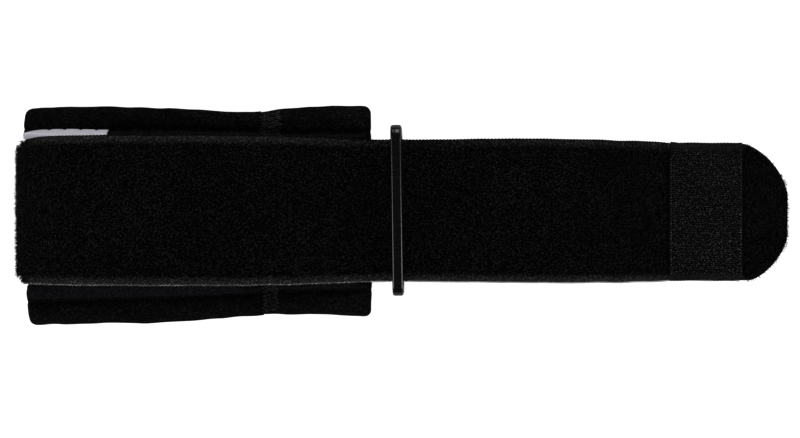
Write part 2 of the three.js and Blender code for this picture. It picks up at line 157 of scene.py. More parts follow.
# Finer detail that only this dressing has, in millimetres, shares and counts
LOWEST = 0.02
ROW_STEP = 0.8
PILE_MASS = 0.74
PILE_LUMP = 0.19
FIBRE_RADIUS = 0.06
EDGE_LOOP = {"pitch": 1.2, "stand": 0.42, "upper_share": 0.6, "root": 0.12, "radius": 0.2}
TIP_ROWS = {"run": 9.0, "count": 26}
TAPE_SEAMS = (-15, -19, -117, -121)
SEAM_DENT = {"share": 0.55, "width": 0.9}
FOLD_SEAMS = (1.4, 3.4)
THREAD = 0.19
STITCH_DIP = 0.35
STITCH_SHARES = np.linspace(0, 1, 7)
STITCH_PROFILE = np.array([0.6, 0.9, 1, 1, 1, 0.9, 0.6])
CHANNEL_CUT = {"depth": 0.5, "width": 0.6, "notch": 0.3}
CHANNEL_STITCH = {"first": 1.1, "step": 2.8, "within": -0.35, "beyond": 2.7}
SEAM_STITCH = {"step": 0.72, "rows": 5, "before": 0.6, "low": 6.4, "high": 8.2}
SEAM_LAP = 0.12
LABEL_EDGE = {"over": 0.25, "taper": 2.3, "taper_run": 2.9, "tick": 0.42, "tick_width": 0.8}
LABEL_ENDS = (0.7, LABEL_INSET + LABEL_LENGTH)
LABEL_LIFT = 0.1
LINING_LIFT = SEAT * 0.5
LINING_ROLL = 1.2
HOOK_PITCH = (1.05, 0.77)
HOOK_RADIUS = 0.12
HOOK_SHAPE = np.array([
    (0, -0.25), (0, 0.25), (0.03, 0.5), (0.16, 0.68), (0.34, 0.66), (0.44, 0.47),
])
SLACK = 0.92
PUFF = {"cap": 0.8, "scale": 0.01, "frames": 20}
PUFF_CLOTH = {
    "quality": 6, "use_pressure": True, "uniform_pressure_force": 4, "shrink_min": -0.035,
    "bending_stiffness": 0.35, "mass": 0.25,
}

# How the tape's edges are pulled in at the fold, for its lower and its upper edge, and how the
# upper one is narrowed over a run from it
FOLD_EDGE = {
    "inset": (2.3, 2.1), "run": 0.5, "pull": (1.8, 0.8), "from": (-0.5, 3.0), "to": (4.5, 14.0),
    "corner": 0.8, "narrow": 0.8, "narrow_run": 11,
}

# Soft unevenness: the size and the length of its waves
RIPPLES = {
    "tape edges": (0.12, 14), "pile": (0.12, 9), "pad outline": (0.22, 11), "pad top": (0.13, 16),
    "pad creases": (0.1, 5), "pad underside": (0.25, 13), "layers": (0.05, 7),
    "tab edges": (0.1, 5), "tab ends": (0.15, 6), "ring": (0.012, 30),
}

# The camera in millimetres: its eye, its sensor, and the photo's width as a count of pixels and
# the size of a pixel at a distance of one
CAMERA = {"eye": (0.7, -3.03, 380.0), "sensor": 36, "width": 800, "pixel": 9.495e-4}

# Lights in metres: place, size and power. The front light shows in no gloss, and the two that
# are named gloss show in nothing else
LIGHTS = {
    "front light": ((-0.05, -0.68, 0.54), 0.5, 3.1),
    "back light": ((0.0, 0.72, 0.55), 0.55, 4.2),
    "left gloss": ((-0.8, -0.24, 0.36), 0.5, 2.8),
    "right gloss": ((0.8, -0.24, 0.36), 0.5, 4.2),
    "left light": ((-0.75, -0.15, 0.42), 0.45, 1.7),
    "right light": ((0.75, -0.15, 0.42), 0.45, 1.9),
}

# The floor's reach in metres and its gap under the part in millimetres. Glows are the rise where
# the camera looks straight at them, and the strength elsewhere
FLOOR_REACH = 4.0
FLOOR_GAP = 0.2
FLOOR_GLOW = (0.62, 0.3)
SKY_GLOW = (0.85, 0.07)
VIEW_GAMMA = 0.85


# ---- Shapes: small formulas ----

def lerp(a, b, t):
    """a + (b - a) t."""
    return a + (b - a) * t


def smoothstep(value, low, high):
    """0 below low, 1 above high, and 3t^2 - 2t^3 between them."""
    t = np.clip((value - low) / (high - low), 0, 1)
    return t * t * (3 - 2 * t)


def fade(value, low, high):
    """1 below low, 0 above high, and smooth between them."""
    return 1 - smoothstep(value, low, high)


def bell(distance, width):
    """A bell curve: 1 at no distance, and 1 / e at its width."""
    return np.exp(-(distance / width) ** 2)


def rounded(distance, radius):
    """Height of a quarter circle at a distance from its edge, as a share of its radius."""
    short = 1 - np.clip(distance / radius, 0, 1)
    return np.sqrt(1 - short * short)


def within(value, low, high):
    """How far a value lies inside two ends: the lesser of its distances from them."""
    return np.minimum(value - low, high - value)


def unit(vectors):
    """Vectors divided by their lengths."""
    return vectors / np.linalg.norm(vectors, axis=-1, keepdims=True)


def crowded(count):
    """Shares from 0 to 1, (1 - cos) / 2, that lie closer together at both ends."""
    return (1 - np.cos(np.pi * np.arange(count + 1) / count)) / 2


def table_at(table, along):
    """Rows of a table at shares along it: a cubic between rows, its slopes taken from the
    neighbouring rows on either side."""
    along = np.asarray(along, float)
    places = table[:, 0]
    after = np.clip(np.searchsorted(places, along, side="right"), 1, len(places) - 1)
    a, b = table[after - 1], table[after]
    before_a = table[np.maximum(after - 2, 0)]
    after_b = table[np.minimum(after + 1, len(places) - 1)]
    span = (b - a)[..., :1]
    t = np.clip((along[..., None] - a[..., :1]) / span, 0, 1)
    rise = b - a
    slope_in = (b - before_a) / (b - before_a)[..., :1] * span
    slope_out = (after_b - a) / (after_b - a)[..., :1] * span
    turn = slope_in + slope_out - 2 * rise
    return a + t * (slope_in + t * (rise - slope_in - turn + t * turn))


def ripples(x, y, kind, seed, waves=18):
    """Soft unevenness of a kind: the mean of cosine waves of about one length, each with its own
    direction and start, times the kind's size."""
    size, length = RIPPLES[kind]
    rng = np.random.default_rng(seed)
    turn = rng.uniform(0, 2 * np.pi, waves)
    start = rng.uniform(0, 2 * np.pi, waves)
    pace = 2 * np.pi / (length * rng.uniform(0.7, 1.5, waves))
    total = np.zeros(np.broadcast(x, y).shape)
    for k in range(waves):
        total += np.cos((x * np.cos(turn[k]) + y * np.sin(turn[k])) * pace[k] + start[k])
    return size * (total / math.sqrt(2 * waves))


# ---- Meshes ----

def skin(rings, closed=False):
    """Quads round and between the rings of each body, rings[body, ring, point]. The two end rings
    are zipped shut, point j with the point as far from the ring's end, unless the rings close."""
    bodies, rows, around = rings.shape[:3]
    here = np.arange(bodies * rows * around).reshape(bodies, rows, around)
    side = np.roll(here, -1, axis=2)
    if closed:
        faces = np.stack([here, side, np.roll(side, -1, axis=1), np.roll(here, -1, axis=1)], -1)
        return faces.reshape(-1, 4)
    walls = np.stack([here[:, :-1], side[:, :-1], side[:, 1:], here[:, 1:]], -1).reshape(-1, 4)
    j = np.arange(around // 2 - 1)
    first, last = here[:, 0], here[:, -1]
    over = around - 1 - j
    start = np.stack([first[:, j + 1], first[:, j], first[:, over], first[:, over - 1]], -1)
    end = np.stack([last[:, j], last[:, j + 1], last[:, over - 1], last[:, over]], -1)
    return np.concatenate([walls, start.reshape(-1, 4), end.reshape(-1, 4)])


def skin_uv(u, v):
    """Places on the cloth for skin()'s corners, in centimetres: u for each ring, v for each point
    round it, with one value more where the ring closes."""
    around = len(v) - 1
    r, c = np.meshgrid(np.arange(len(u) - 1), np.arange(around), indexing="ij")
    corners = ((r, c), (r, c + 1), (r + 1, c + 1), (r + 1, c))
    walls = np.stack([np.stack([u[row], v[column]], -1) for row, column in corners], -2)
    j = np.arange(around // 2 - 1)
    over = around - 1 - j
    ends = []
    for at, order in ((u[0], (j + 1, j, over, over - 1)), (u[-1], (j, j + 1, over - 1, over))):
        ends.append(np.stack([np.stack([np.full(len(j), at), v[k]], -1) for k in order], -2))
    return np.concatenate([walls.reshape(-1, 4, 2), *ends]) / 10


def there_and_back(top, under):
    """Rings of a flat body: across its top, then back across its underside."""
    return np.concatenate([top, under[:, ::-1]], 1)


def girth(across, edge):
    """Places round the rings of a flat body for skin_uv(): the underside's go on past the edge's
    thickness, and the last one closes the ring."""
    back = 2 * across[-1] + edge - across[::-1]
    return np.concatenate([across, back, [3 * across[-1] - across[0]]])


def tubes(lines, radius, sides=6, up=(0, 0, 1)):
    """Rings of threads along lines[body, point]: each ring is centred on its point and stands
    square to the line, radius may differ from point to point, and up says where a ring starts."""
    run = np.gradient(lines, axis=1)
    run /= np.linalg.norm(run, axis=-1, keepdims=True) + 1e-12
    across = np.cross(run, np.broadcast_to(np.asarray(up, float), run.shape))
    across /= np.linalg.norm(across, axis=-1, keepdims=True) + 1e-12
    out = np.cross(across, run)
    angle = 2 * np.pi * (np.arange(sides) + 0.5) / sides
    radius = np.broadcast_to(radius, lines.shape[:2])[..., None, None]
    return lines[:, :, None] + radius * (
        np.cos(angle)[:, None] * across[:, :, None] + np.sin(angle)[:, None] * out[:, :, None])


def place(points, turn=0.0):
    """Turned about Z, then moved into the row frame, in metres."""
    points = np.asarray(points, float).reshape(-1, 3)
    c, s = math.cos(turn), math.sin(turn)
    turned = points @ np.array([(c, s, 0), (-s, c, 0), (0, 0, 1)])
    return (turned + SHIFT) * MM


def outward(points, faces):
    """The faces, turned round if the volume that they close is negative."""
    corners = points[faces]
    total = 0.0
    for k in range(1, faces.shape[1] - 1):
        square = np.cross(corners[:, k], corners[:, k + 1])
        total += np.einsum("ij,ij->i", corners[:, 0], square).sum()
    return (faces[:, ::-1], True) if total < 0 else (faces, False)


def add_object(name, data):
    """A new object in the scene."""
    obj = bpy.data.objects.new(name, data)
    bpy.context.scene.collection.objects.link(obj)
    return obj


def piece(name, points, faces, finishes, turn=0.0, uv=None, finish_of=None, bare=None,
          replaces=()):
    """A finished piece in the row frame, from quads or triangles. finish_of numbers each face's
    finish among finishes, and bare gives each point its share of an edge colour: how far the pile
    is off it, and on the tape painted light and shade as well."""
    points = place(points, turn)
    faces, turned = outward(points, faces)
    mesh = bpy.data.meshes.new(name)
    mesh.from_pydata(points.tolist(), [], faces.tolist())
    if uv is not None:
        uv = np.ascontiguousarray(uv[:, ::-1] if turned else uv, np.float32)
        mesh.uv_layers.new(name="cloth").data.foreach_set("uv", uv.ravel())
    if bare is not None:
        values = mesh.attributes.new("bare", "FLOAT", "POINT").data
        values.foreach_set("value", np.ravel(bare).astype(np.float32))
    for finish in finishes:
        mesh.materials.append(finish)
    if finish_of is not None:
        mesh.polygons.foreach_set("material_index", np.ascontiguousarray(finish_of, np.int32))
    mesh.shade_smooth()
    mesh.update()
    obj = add_object(name, mesh)
    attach(obj, "root")
    if replaces:
        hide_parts(*replaces)
    return obj


def smooth(obj):
    """One subdivision of a piece, applied, with its finish kept."""
    step = obj.modifiers.new("round", "SUBSURF")
    step.levels = step.render_levels = 1
    bpy.context.view_layer.update()
    done = obj.evaluated_get(bpy.context.evaluated_depsgraph_get())
    mesh = bpy.data.meshes.new_from_object(done)
    obj.modifiers.clear()
    old, obj.data = obj.data, mesh
    mesh.name = obj.name
    bpy.data.meshes.remove(old)


# ---- Finishes ----

class Wiring:
    """Adds nodes to a tree and joins them. A value is a number, a colour or a node's output."""

    def __init__(self, tree):
        self.tree = tree

    def put(self, sockets, values):
        """Sets or joins sockets, by name or number."""
        for key, value in dict(values).items():
            if isinstance(value, bpy.types.NodeSocket):
                self.tree.links.new(value, sockets[key])
            else:
                sockets[key].default_value = value

    def add(self, kind, inputs=(), **settings):
        """A new node."""
        made = self.tree.nodes.new(kind)
        for key, value in settings.items():
            setattr(made, key, value)
        self.put(made.inputs, inputs)
        return made

    def math(self, operation, *values, clamp=False):
        """A sum on one to three values."""
        return self.add(
            "ShaderNodeMath", enumerate(values), operation=operation, use_clamp=clamp).outputs[0]

    def mean(self, share, a, b):
        """A share of a and the rest of b."""
        a, b = self.math("MULTIPLY", a, share), self.math("MULTIPLY", b, 1 - share)
        return self.math("ADD", a, b)

    def noise(self, at, scale, detail, **more):
        """Soft noise at a place."""
        inputs = {"Vector": at, "Scale": scale, "Detail": detail, **more}
        return self.add("ShaderNodeTexNoise", inputs).outputs[0]

    def blend(self, share, a, b):
        """A colour between two, at a share of the way."""
        made = self.add("ShaderNodeMix", data_type="RGBA")
        sockets = {socket.identifier: socket for socket in made.inputs}
        self.put(sockets, {"Factor_Float": share, "A_Color": a, "B_Color": b})
        return next(socket for socket in made.outputs if socket.identifier == "Result_Color")

    def group(self, tree, inputs):
        """A shared effect."""
        return self.add("ShaderNodeGroup", inputs, node_tree=tree).outputs

    def lifted(self, rise, base):
        """A strength that is higher by rise where the camera looks straight at it."""
        seen = self.add("ShaderNodeLightPath").outputs["Is Camera Ray"]
        return self.math("MULTIPLY_ADD", seen, rise, base)


def new_group(name, inputs, *outputs):
    """An empty effect with named inputs and outputs: its tree, its wiring, its inputs' sockets
    and those that its outputs go into."""
    tree = bpy.data.node_groups.new(name, "ShaderNodeTree")
    for key, value in inputs.items():
        kind = "NodeSocketColor" if hasattr(value, "__len__") else "NodeSocketFloat"
        tree.interface.new_socket(key, in_out="INPUT", socket_type=kind).default_value = value
    for key in outputs:
        kind = "NodeSocketColor" if key == "Color" else "NodeSocketFloat"
        tree.interface.new_socket(key, in_out="OUTPUT", socket_type=kind)
    w = Wiring(tree)
    start, end = w.add("NodeGroupInput"), w.add("NodeGroupOutput")
    return tree, w, start.outputs, end.inputs


def cloth_places(w, wander, scale):
    """Places along and across the cloth on its own map, moved about a little by noise."""
    place_on = w.add("ShaderNodeUVMap", uv_map="cloth").outputs[0]
    shift = w.math("MULTIPLY", w.math("SUBTRACT", w.noise(place_on, scale, 3.0), 0.5), wander)
    parts = w.add("ShaderNodeSeparateXYZ", {0: place_on}).outputs
    return [w.math("ADD", part, shift) for part in (parts[0], parts[1])]


def weave_group():
    """Plain weave on the cloth's own places: height is sin(u) sin(v), so that threads pass over
    and under each other."""
    tree, w, given, result = new_group(
        "plain weave", {"Along": 20.0, "Across": 20.0, "Wander": 0.1}, "Height")
    waves = []
    for at, count in zip(cloth_places(w, given["Wander"], 6.0), (given["Along"], given["Across"])):
        waves.append(w.math("SINE", w.math("MULTIPLY", at, w.math("MULTIPLY", count, math.pi))))
    w.put(result, {"Height": w.math("MULTIPLY_ADD", w.math("MULTIPLY", *waves), 0.5, 0.5)})
    return tree


def knit_group():
    """Knit on the cloth's own places: wales are |sin| across, and the loops along each lean out
    from its middle, so that they read as small Vs."""
    tree, w, given, result = new_group(
        "knit wales", {"Courses": 14.0, "Wales": 12.0, "Wander": 0.1}, "Height")
    u, v = cloth_places(w, given["Wander"], 5.0)
    across, along = w.math("MULTIPLY", v, given["Wales"]), w.math("MULTIPLY", u, given["Courses"])
    wale = w.math("ABSOLUTE", w.math("SINE", w.math("MULTIPLY", across, math.pi)))
    lean = w.math("PINGPONG", across, 0.5)
    loop = w.math("SINE", w.math("MULTIPLY", w.math("MULTIPLY_ADD", lean, 1.1, along), 2 * math.pi))
    w.put(result, {"Height": w.math(
        "MULTIPLY", w.math("POWER", wale, 0.6), w.math("MULTIPLY_ADD", loop, 0.3, 0.7))})
    return tree


def fluff_group():
    """Fluff at two sizes on Object coordinates: height for relief, and a shade that is high on
    the tufts' tops. Colour mixed by the shade is partly random tone and partly a painted highlight
    on the raised tufts."""
    tree, w, given, result = new_group(
        "fluff", {"Fine": 3200.0, "Tuft": 900.0, "Level": 0.5, "Contrast": 3.0}, "Height", "Shade")
    place_on = w.add("ShaderNodeTexCoord").outputs["Object"]
    fine = w.noise(place_on, given["Fine"], 2.0, Roughness=0.6, Distortion=0.6)
    tuft = w.noise(place_on, given["Tuft"], 3.0, Roughness=0.65)
    above = w.math("SUBTRACT", w.mean(0.5, fine, tuft), given["Level"])
    w.put(result, {"Height": w.mean(0.45, fine, tuft),
                   "Shade": w.math("MULTIPLY", above, given["Contrast"], clamp=True)})
    return tree


def tone_group():
    """Colour of well-used cloth: dark and light yarn mixed by a shade, in slow patches, with a few
    pale flecks of lint. The shade is high on raised tufts and threads, so the light colour is
    partly random tone and partly a painted highlight there."""
    tree, w, given, result = new_group(
        "cloth tone",
        {"Dark": (0.01, 0.01, 0.01, 1), "Light": (0.03, 0.03, 0.03, 1), "Shade": 0.5,
         "Fleck": (0.1, 0.1, 0.1, 1), "Lint": 0.1}, "Color")
    place_on = w.add("ShaderNodeTexCoord").outputs["Object"]
    patch = w.math("MULTIPLY_ADD", w.noise(place_on, 60.0, 3.0), 1.2, 0.4)
    share = w.math("MULTIPLY", given["Shade"], patch, clamp=True)
    # The light colour goes where the fluff stands up: partly random tone, partly a painted highlight
    yarn = w.blend(share, given["Dark"], given["Light"])
    flecks = w.noise(place_on, 700.0, 1.0, Distortion=1.2)
    sparse = w.math("MULTIPLY", w.math("SUBTRACT", flecks, 0.74, clamp=True), 8.0, clamp=True)
    lint = w.math("MULTIPLY", sparse, given["Lint"])
    w.put(result, {"Color": w.blend(lint, yarn, given["Fleck"])})
    return tree


WEAVE, KNIT, FLUFF, TONE = weave_group(), knit_group(), fluff_group(), tone_group()


def new_finish(name):
    """A new material, its wiring and its shader's inputs."""
    made = bpy.data.materials.new(name)
    made.use_nodes = True
    return made, Wiring(made.node_tree), made.node_tree.nodes["Principled BSDF"].inputs


def finish_of_cloth(name, dark, light, roughness, relief, pattern=None, pattern_share=0.0,
                    tuft=900.0, fine=3200.0, level=0.42, contrast=5.0, sheen=0.0, specular=0.2,
                    lint=0.1, fleck=(0.12, 0.11, 0.1), edge=None):
    """A cloth's finish: yarn colours mixed by its pattern and fluff, and relief in millimetres
    from both. The light colour follows the raised parts, partly random tone and partly a painted
    highlight. pattern is a group, its counts for each centimetre along and across, and its
    wander. edge is the yarn's colours where the piece's bare value, made uneven by the fluff, is
    high."""
    made, w, shader = new_finish(name)
    fluff = w.group(FLUFF, {"Fine": fine, "Tuft": tuft, "Level": level, "Contrast": contrast})
    height, shade = fluff["Height"], fluff["Shade"]
    if pattern:
        threads = w.group(pattern[0], enumerate(pattern[1:]))[0]
        height = w.mean(pattern_share, threads, height)
        shade = w.mean(pattern_share, threads, shade)
    dark, light = (*dark, 1), (*light, 1)
    if edge:
        bare = w.add("ShaderNodeAttribute", attribute_name="bare").outputs["Fac"]
        uneven = w.math(
            "MULTIPLY", w.math("SUBTRACT", fluff["Height"], 0.5), w.math("PINGPONG", bare, 0.5))
        share = w.math("MULTIPLY_ADD", uneven, 3.5, bare, clamp=True)
        dark, light = (
            w.blend(share, inner, (*outer, 1)) for inner, outer in zip((dark, light), edge))
    color = w.group(TONE, {
        "Dark": dark, "Light": light, "Shade": shade, "Fleck": (*fleck, 1), "Lint": lint})[0]
    bump = w.add("ShaderNodeBump", {"Height": height, "Distance": relief * MM, "Strength": 1.0})
    rough = w.math("MULTIPLY_ADD", w.math("SUBTRACT", shade, 0.5), -0.15, roughness, clamp=True)
    w.put(shader, {
        "Base Color": color, "Roughness": rough, "Normal": bump.outputs[0], "Sheen Weight": sheen,
        "Sheen Roughness": 0.4, "Specular IOR Level": specular})
    return made


def finish_of_plastic():
    """Glossy moulded plastic: near black, with a fine orange peel, soft scuffs and dust in them."""
    made, w, shader = new_finish("ring plastic")
    place_on = w.add("ShaderNodeTexCoord").outputs["Object"]
    turned = w.add("ShaderNodeMapping", {"Vector": place_on, "Scale": (60, 900, 60)}).outputs[0]
    peel, scuffs = w.noise(place_on, 900.0, 2.0), w.noise(turned, 6.0, 5.0, Roughness=0.7)
    paler_share = w.math("MULTIPLY", w.math("SUBTRACT", scuffs, 0.5, clamp=True), 3.0, clamp=True)
    bump = w.add("ShaderNodeBump", {
        "Height": w.mean(0.6, peel, scuffs), "Distance": 0.02 * MM, "Strength": 0.6})
    w.put(shader, {
        "Base Color": w.blend(paler_share, (0.003, 0.003, 0.0033, 1), (0.013, 0.013, 0.014, 1)),
        "Roughness": w.math("MULTIPLY_ADD", paler_share, 0.25, 0.2), "Normal": bump.outputs[0],
        "IOR": 1.5})
    return made


# Its edge colours are the bare edges' paler colour, partly their own and partly painted light; on
# the strap the upper edge's share is cut back as painted shade
PILE = finish_of_cloth(
    "loop pile", (0.0005, 0.0005, 0.0006), (0.0215, 0.0211, 0.0217), 0.95, 0.4,
    tuft=1400.0, fine=2700.0, level=0.515, contrast=13.5, specular=0.03, lint=0.15,
    edge=((0.024, 0.0236, 0.0248), (0.11, 0.108, 0.112)))
PILE_FIBRE = finish_of_cloth(
    "pile fibre", (0.0008, 0.0008, 0.0009), (0.068, 0.066, 0.066), 0.5, 0.05,
    tuft=1300.0, fine=2600.0, level=0.525, contrast=13.0, specular=0.15, lint=0.4)
TAPE_EDGE = finish_of_cloth(
    "woven tape edge", (0.003, 0.003, 0.0032), (0.026, 0.025, 0.026), 0.6, 0.2,
    (WEAVE, 27.0, 23.0, 0.08), 0.25,
    tuft=1100.0, fine=2400.0, level=0.45, contrast=6.0, specular=0.18)
TAPE_BACK = finish_of_cloth(
    "woven tape back", (0.005, 0.005, 0.0055), (0.018, 0.018, 0.019), 0.75, 0.16,
    (WEAVE, 14.0, 18.0, 0.06), 0.8)
TAB_CLOTH = finish_of_cloth(
    "hook tape ground", (0.0014, 0.0014, 0.0017), (0.013, 0.013, 0.0146), 0.85, 0.3,
    (WEAVE, 21.0, 19.0, 0.06), 0.35,
    tuft=1500.0, fine=3000.0, level=0.48, contrast=8.0, specular=0.04,
    edge=((0.0035, 0.0035, 0.0038), (0.034, 0.034, 0.035)))
PAD_CLOTH = finish_of_cloth(
    "pad knit", (0.001, 0.0009, 0.0012), (0.0235, 0.021, 0.0235), 0.92, 0.24,
    (KNIT, 17.0, 14.0, 0.12), 0.15,
    tuft=1200.0, fine=2800.0, level=0.515, contrast=12.0, specular=0.06, lint=0.35)
LINING_CLOTH = finish_of_cloth(
    "lining knit", (0.0014, 0.0014, 0.002), (0.0245, 0.0238, 0.0292), 0.85, 0.14,
    (KNIT, 16.0, 13.0, 0.04), 0.2,
    tuft=1300.0, fine=2700.0, level=0.505, contrast=12.0, specular=0.08, lint=0.25)
LABEL_CLOTH = finish_of_cloth(
    "label satin", (0.73, 0.725, 0.8), (0.845, 0.84, 0.89), 0.5, 0.04,
    (WEAVE, 9.0, 34.0, 0.03), 0.7,
    contrast=2.0, specular=0.5, sheen=0.1, lint=0.35, fleck=(0.35, 0.32, 0.36))
SEWING = finish_of_cloth(
    "sewing thread", (0.0015, 0.0015, 0.0017), (0.022, 0.021, 0.022), 0.6, 0.05,
    tuft=1200.0, fine=3000.0, level=0.5, contrast=8.0, specular=0.08)
SEAM_THREAD = finish_of_cloth(
    "seam thread", (0.004, 0.0038, 0.0038), (0.14, 0.135, 0.132), 0.5, 0.05,
    tuft=1300.0, fine=3000.0, level=0.49, contrast=9.0, specular=0.25, lint=0.2)
HOOKS = finish_of_cloth(
    "hook filament", (0.006, 0.006, 0.007), (0.205, 0.205, 0.218), 0.3, 0.02,
    tuft=600.0, fine=1400.0, level=0.5, contrast=9.0, specular=0.5, lint=0.0)
# Painted light: only the lower edge's loops, on the lit side, take this pale thread; the upper
# edge's take the dark sewing thread
PAINTED_LIT_EDGE_THREAD = finish_of_cloth(
    "painted lit edge thread", (0.09, 0.09, 0.092), (0.46, 0.45, 0.46), 0.45, 0.05,
    fine=2600.0, level=0.49, contrast=9.0, specular=0.3)
PLASTIC = finish_of_plastic()


# ---- The tape ----

def knots_to_curve(knots, steps):
    """A centripetal Catmull-Rom curve through knots, steps points to a span: a cubic between
    neighbours whose slopes weigh each chord by the root of its length."""
    ends = (2 * knots[0] - knots[1], 2 * knots[-1] - knots[-2])
    p = np.vstack([ends[0], knots, ends[1]])
    gap = np.sqrt(np.linalg.norm(np.diff(p[:, :2], axis=0), axis=1))[:, None]
    p0, p1, p2, p3 = p[:-3], p[1:-2], p[2:-1], p[3:]
    d0, d1, d2 = gap[:-2], gap[1:-1], gap[2:]
    m1 = ((p1 - p0) / d0 - (p2 - p0) / (d0 + d1) + (p2 - p1) / d1) * d1
    m2 = ((p2 - p1) / d1 - (p3 - p1) / (d1 + d2) + (p3 - p2) / d2) * d1
    t = (np.arange(1, steps + 1) / steps)[:, None, None]
    curve = p1 + t * (m1 + t * (3 * (p2 - p1) - 2 * m1 - m2 + t * (2 * (p1 - p2) + m1 + m2)))
    return curve.transpose(1, 0, 2).reshape(-1, p.shape[1])


def cut_depth(along, corner):
    """Share of half the width that a tip corner takes off: depth (1 - (1 - p^n)^(1/n))."""
    length, depth = corner
    past = np.clip((along - (1 - length)) / length, 0, 1)
    return depth * (1 - (1 - past ** TIP_ROUNDNESS) ** (1 / TIP_ROUNDNESS))


def stretch(x, z, width=1.0, pile=1.0, bare=SELVEDGE, drift=0.0, upper=0.0, lower=0.0):
    """One stretch of the tape: a row of eight values for each of its stations."""
    values = np.broadcast_arrays(x, z, width, pile, bare, drift, upper, lower)
    return np.stack(values, -1).astype(float)


def tape_route():
    """The tape's inner face from its folded end to the tip, at even steps along it. The folded
    end is a cubic, the loop and the fold are arcs, and the rest runs through the knots."""
    level = LOOP_THICKNESS + SEAT
    wrap = np.array([math.cos(WRAP_START), math.sin(WRAP_START)])
    onto = wrap * LOOP_RADIUS + (0, BAR_LEVEL)
    handles = ((-FOLD_BACK, level), (-(FOLD_BACK + LOOP_RADIUS) / 2, level),
               onto + np.array([-wrap[1], wrap[0]]) * LOOP_RADIUS, onto)
    t = np.linspace(0, 1, 30)[:-1, None]
    shares = ((1 - t) ** 3, 3 * (1 - t) ** 2 * t, 3 * (1 - t) * t * t, t ** 3)
    folded = sum(share * np.array(handle) for share, handle in zip(shares, handles))
    turn = np.linspace(WRAP_START, -np.pi / 2, 60)
    x = np.linspace(0, FOLD_FAR + FOLD_RADIUS, 260)[1:]
    crush = smoothstep(x, -FOLD_BACK - FLATTEN_RUN, -FOLD_BACK)
    pile = lerp(1, LOOP_PILE, crush)
    fold = np.linspace(-np.pi / 2, -(np.pi + FOLD_LEAN), 40)[1:]
    stretches = [
        stretch(folded[:, 0], folded[:, 1], RING_WIDTH_SHARE, LOOP_PILE),
        stretch(LOOP_RADIUS * np.cos(turn), BAR_LEVEL + LOOP_RADIUS * np.sin(turn),
                RING_WIDTH_SHARE, LOOP_PILE),
        stretch(x, TAPE_BASE + PILE_HEIGHT * pile, lerp(1, RING_WIDTH_SHARE, crush), pile),
        stretch(FOLD_FAR + FOLD_RADIUS * (1 + np.cos(fold)),
                TAPE_THICKNESS + FOLD_RADIUS * (1 + np.sin(fold))),
    ]
    share, rise, width = OVER_PAD.T
    knots = np.vstack([
        (*stretches[-1][-1][:2], 1),
        np.stack([FOLD_FAR * share, lerp(RING_LEVEL, CROWN_LEVEL, rise), width], -1),
        np.stack([TAB_START * TAIL[:, 0], TAIL_RISE * TAIL[:, 1], TAIL[:, 2]], -1),
        (TAB_START, 0, TAB_WIDTH_SHARE),
    ])
    x, z, width = knots_to_curve(knots, 24).T
    stretches.append(stretch(
        x, np.maximum(z, 0), width, lerp(1, TAB_PILE, smoothstep(x, TAB_START - 0.4, TAB_START)),
        drift=TAB_DRIFT * smoothstep(x, 0, TAB_START)))
    stretches.append(stretch(
        np.linspace(TAB_START, TAB_END, 30)[1:], 0, TAB_WIDTH_SHARE, TAB_PILE, drift=TAB_DRIFT))
    along = np.sin(np.pi / 2 * np.linspace(0, 1, 160)[1:])
    stretches.append(stretch(
        TAB_END + along * TIP_LENGTH, 0, TAB_WIDTH_SHARE,
        lerp(TAB_PILE, 1, smoothstep(along * TIP_LENGTH, 0, PILE_SHOULDER)),
        lerp(SELVEDGE, TIP_BARE, smoothstep(along, 0, 0.16)), TAB_DRIFT,
        cut_depth(along, TIP_CORNERS["upper"]), cut_depth(along, TIP_CORNERS["lower"])))
    rows = np.concatenate(stretches)
    gone = np.concatenate([[0], np.cumsum(np.hypot(*np.diff(rows[:, :2], axis=0).T))])
    start = gone[-1] - TIP_ROWS["run"]
    at = np.concatenate([
        np.arange(0, start, ROW_STEP),
        start + TIP_ROWS["run"] * np.sin(np.pi / 2 * np.linspace(0, 1, TIP_ROWS["count"]))])
    x, z, width, pile, bare, drift, upper, lower = (
        np.interp(at, gone, column) for column in rows.T)
    run = np.stack([np.gradient(x, at), np.gradient(z, at)], -1)
    run /= np.linalg.norm(run, axis=1, keepdims=True)
    under = z < TAPE_THICKNESS + 1e-6
    for seam in TAPE_SEAMS:
        dent = SEAM_DENT["share"] * bell(x - seam, SEAM_DENT["width"])
        pile = pile * (1 - dent * (under & (run[:, 0] < 0)))
    half = TAPE_WIDTH / 2 * width
    wave = ripples(at, 0, "tape edges", 3)
    narrow = FOLD_EDGE["narrow"] * np.exp(
        -np.maximum(x - FOLD_FAR - 1, 0) / FOLD_EDGE["narrow_run"])
    narrow = narrow * smoothstep(z, TAPE_THICKNESS, TAPE_THICKNESS + 4)
    return {"at": at, "x": x, "z": z, "run_x": run[:, 0], "run_z": run[:, 1], "pile": pile,
            "bare": bare, "low": drift - half * (1 - lower) + wave,
            "high": drift + half * (1 - upper) + wave - narrow}


TAPE = tape_route()


def tape_at(at, *keys):
    """Values of the tape at lengths along it."""
    return [np.interp(at, TAPE["at"], TAPE[key]) for key in keys]


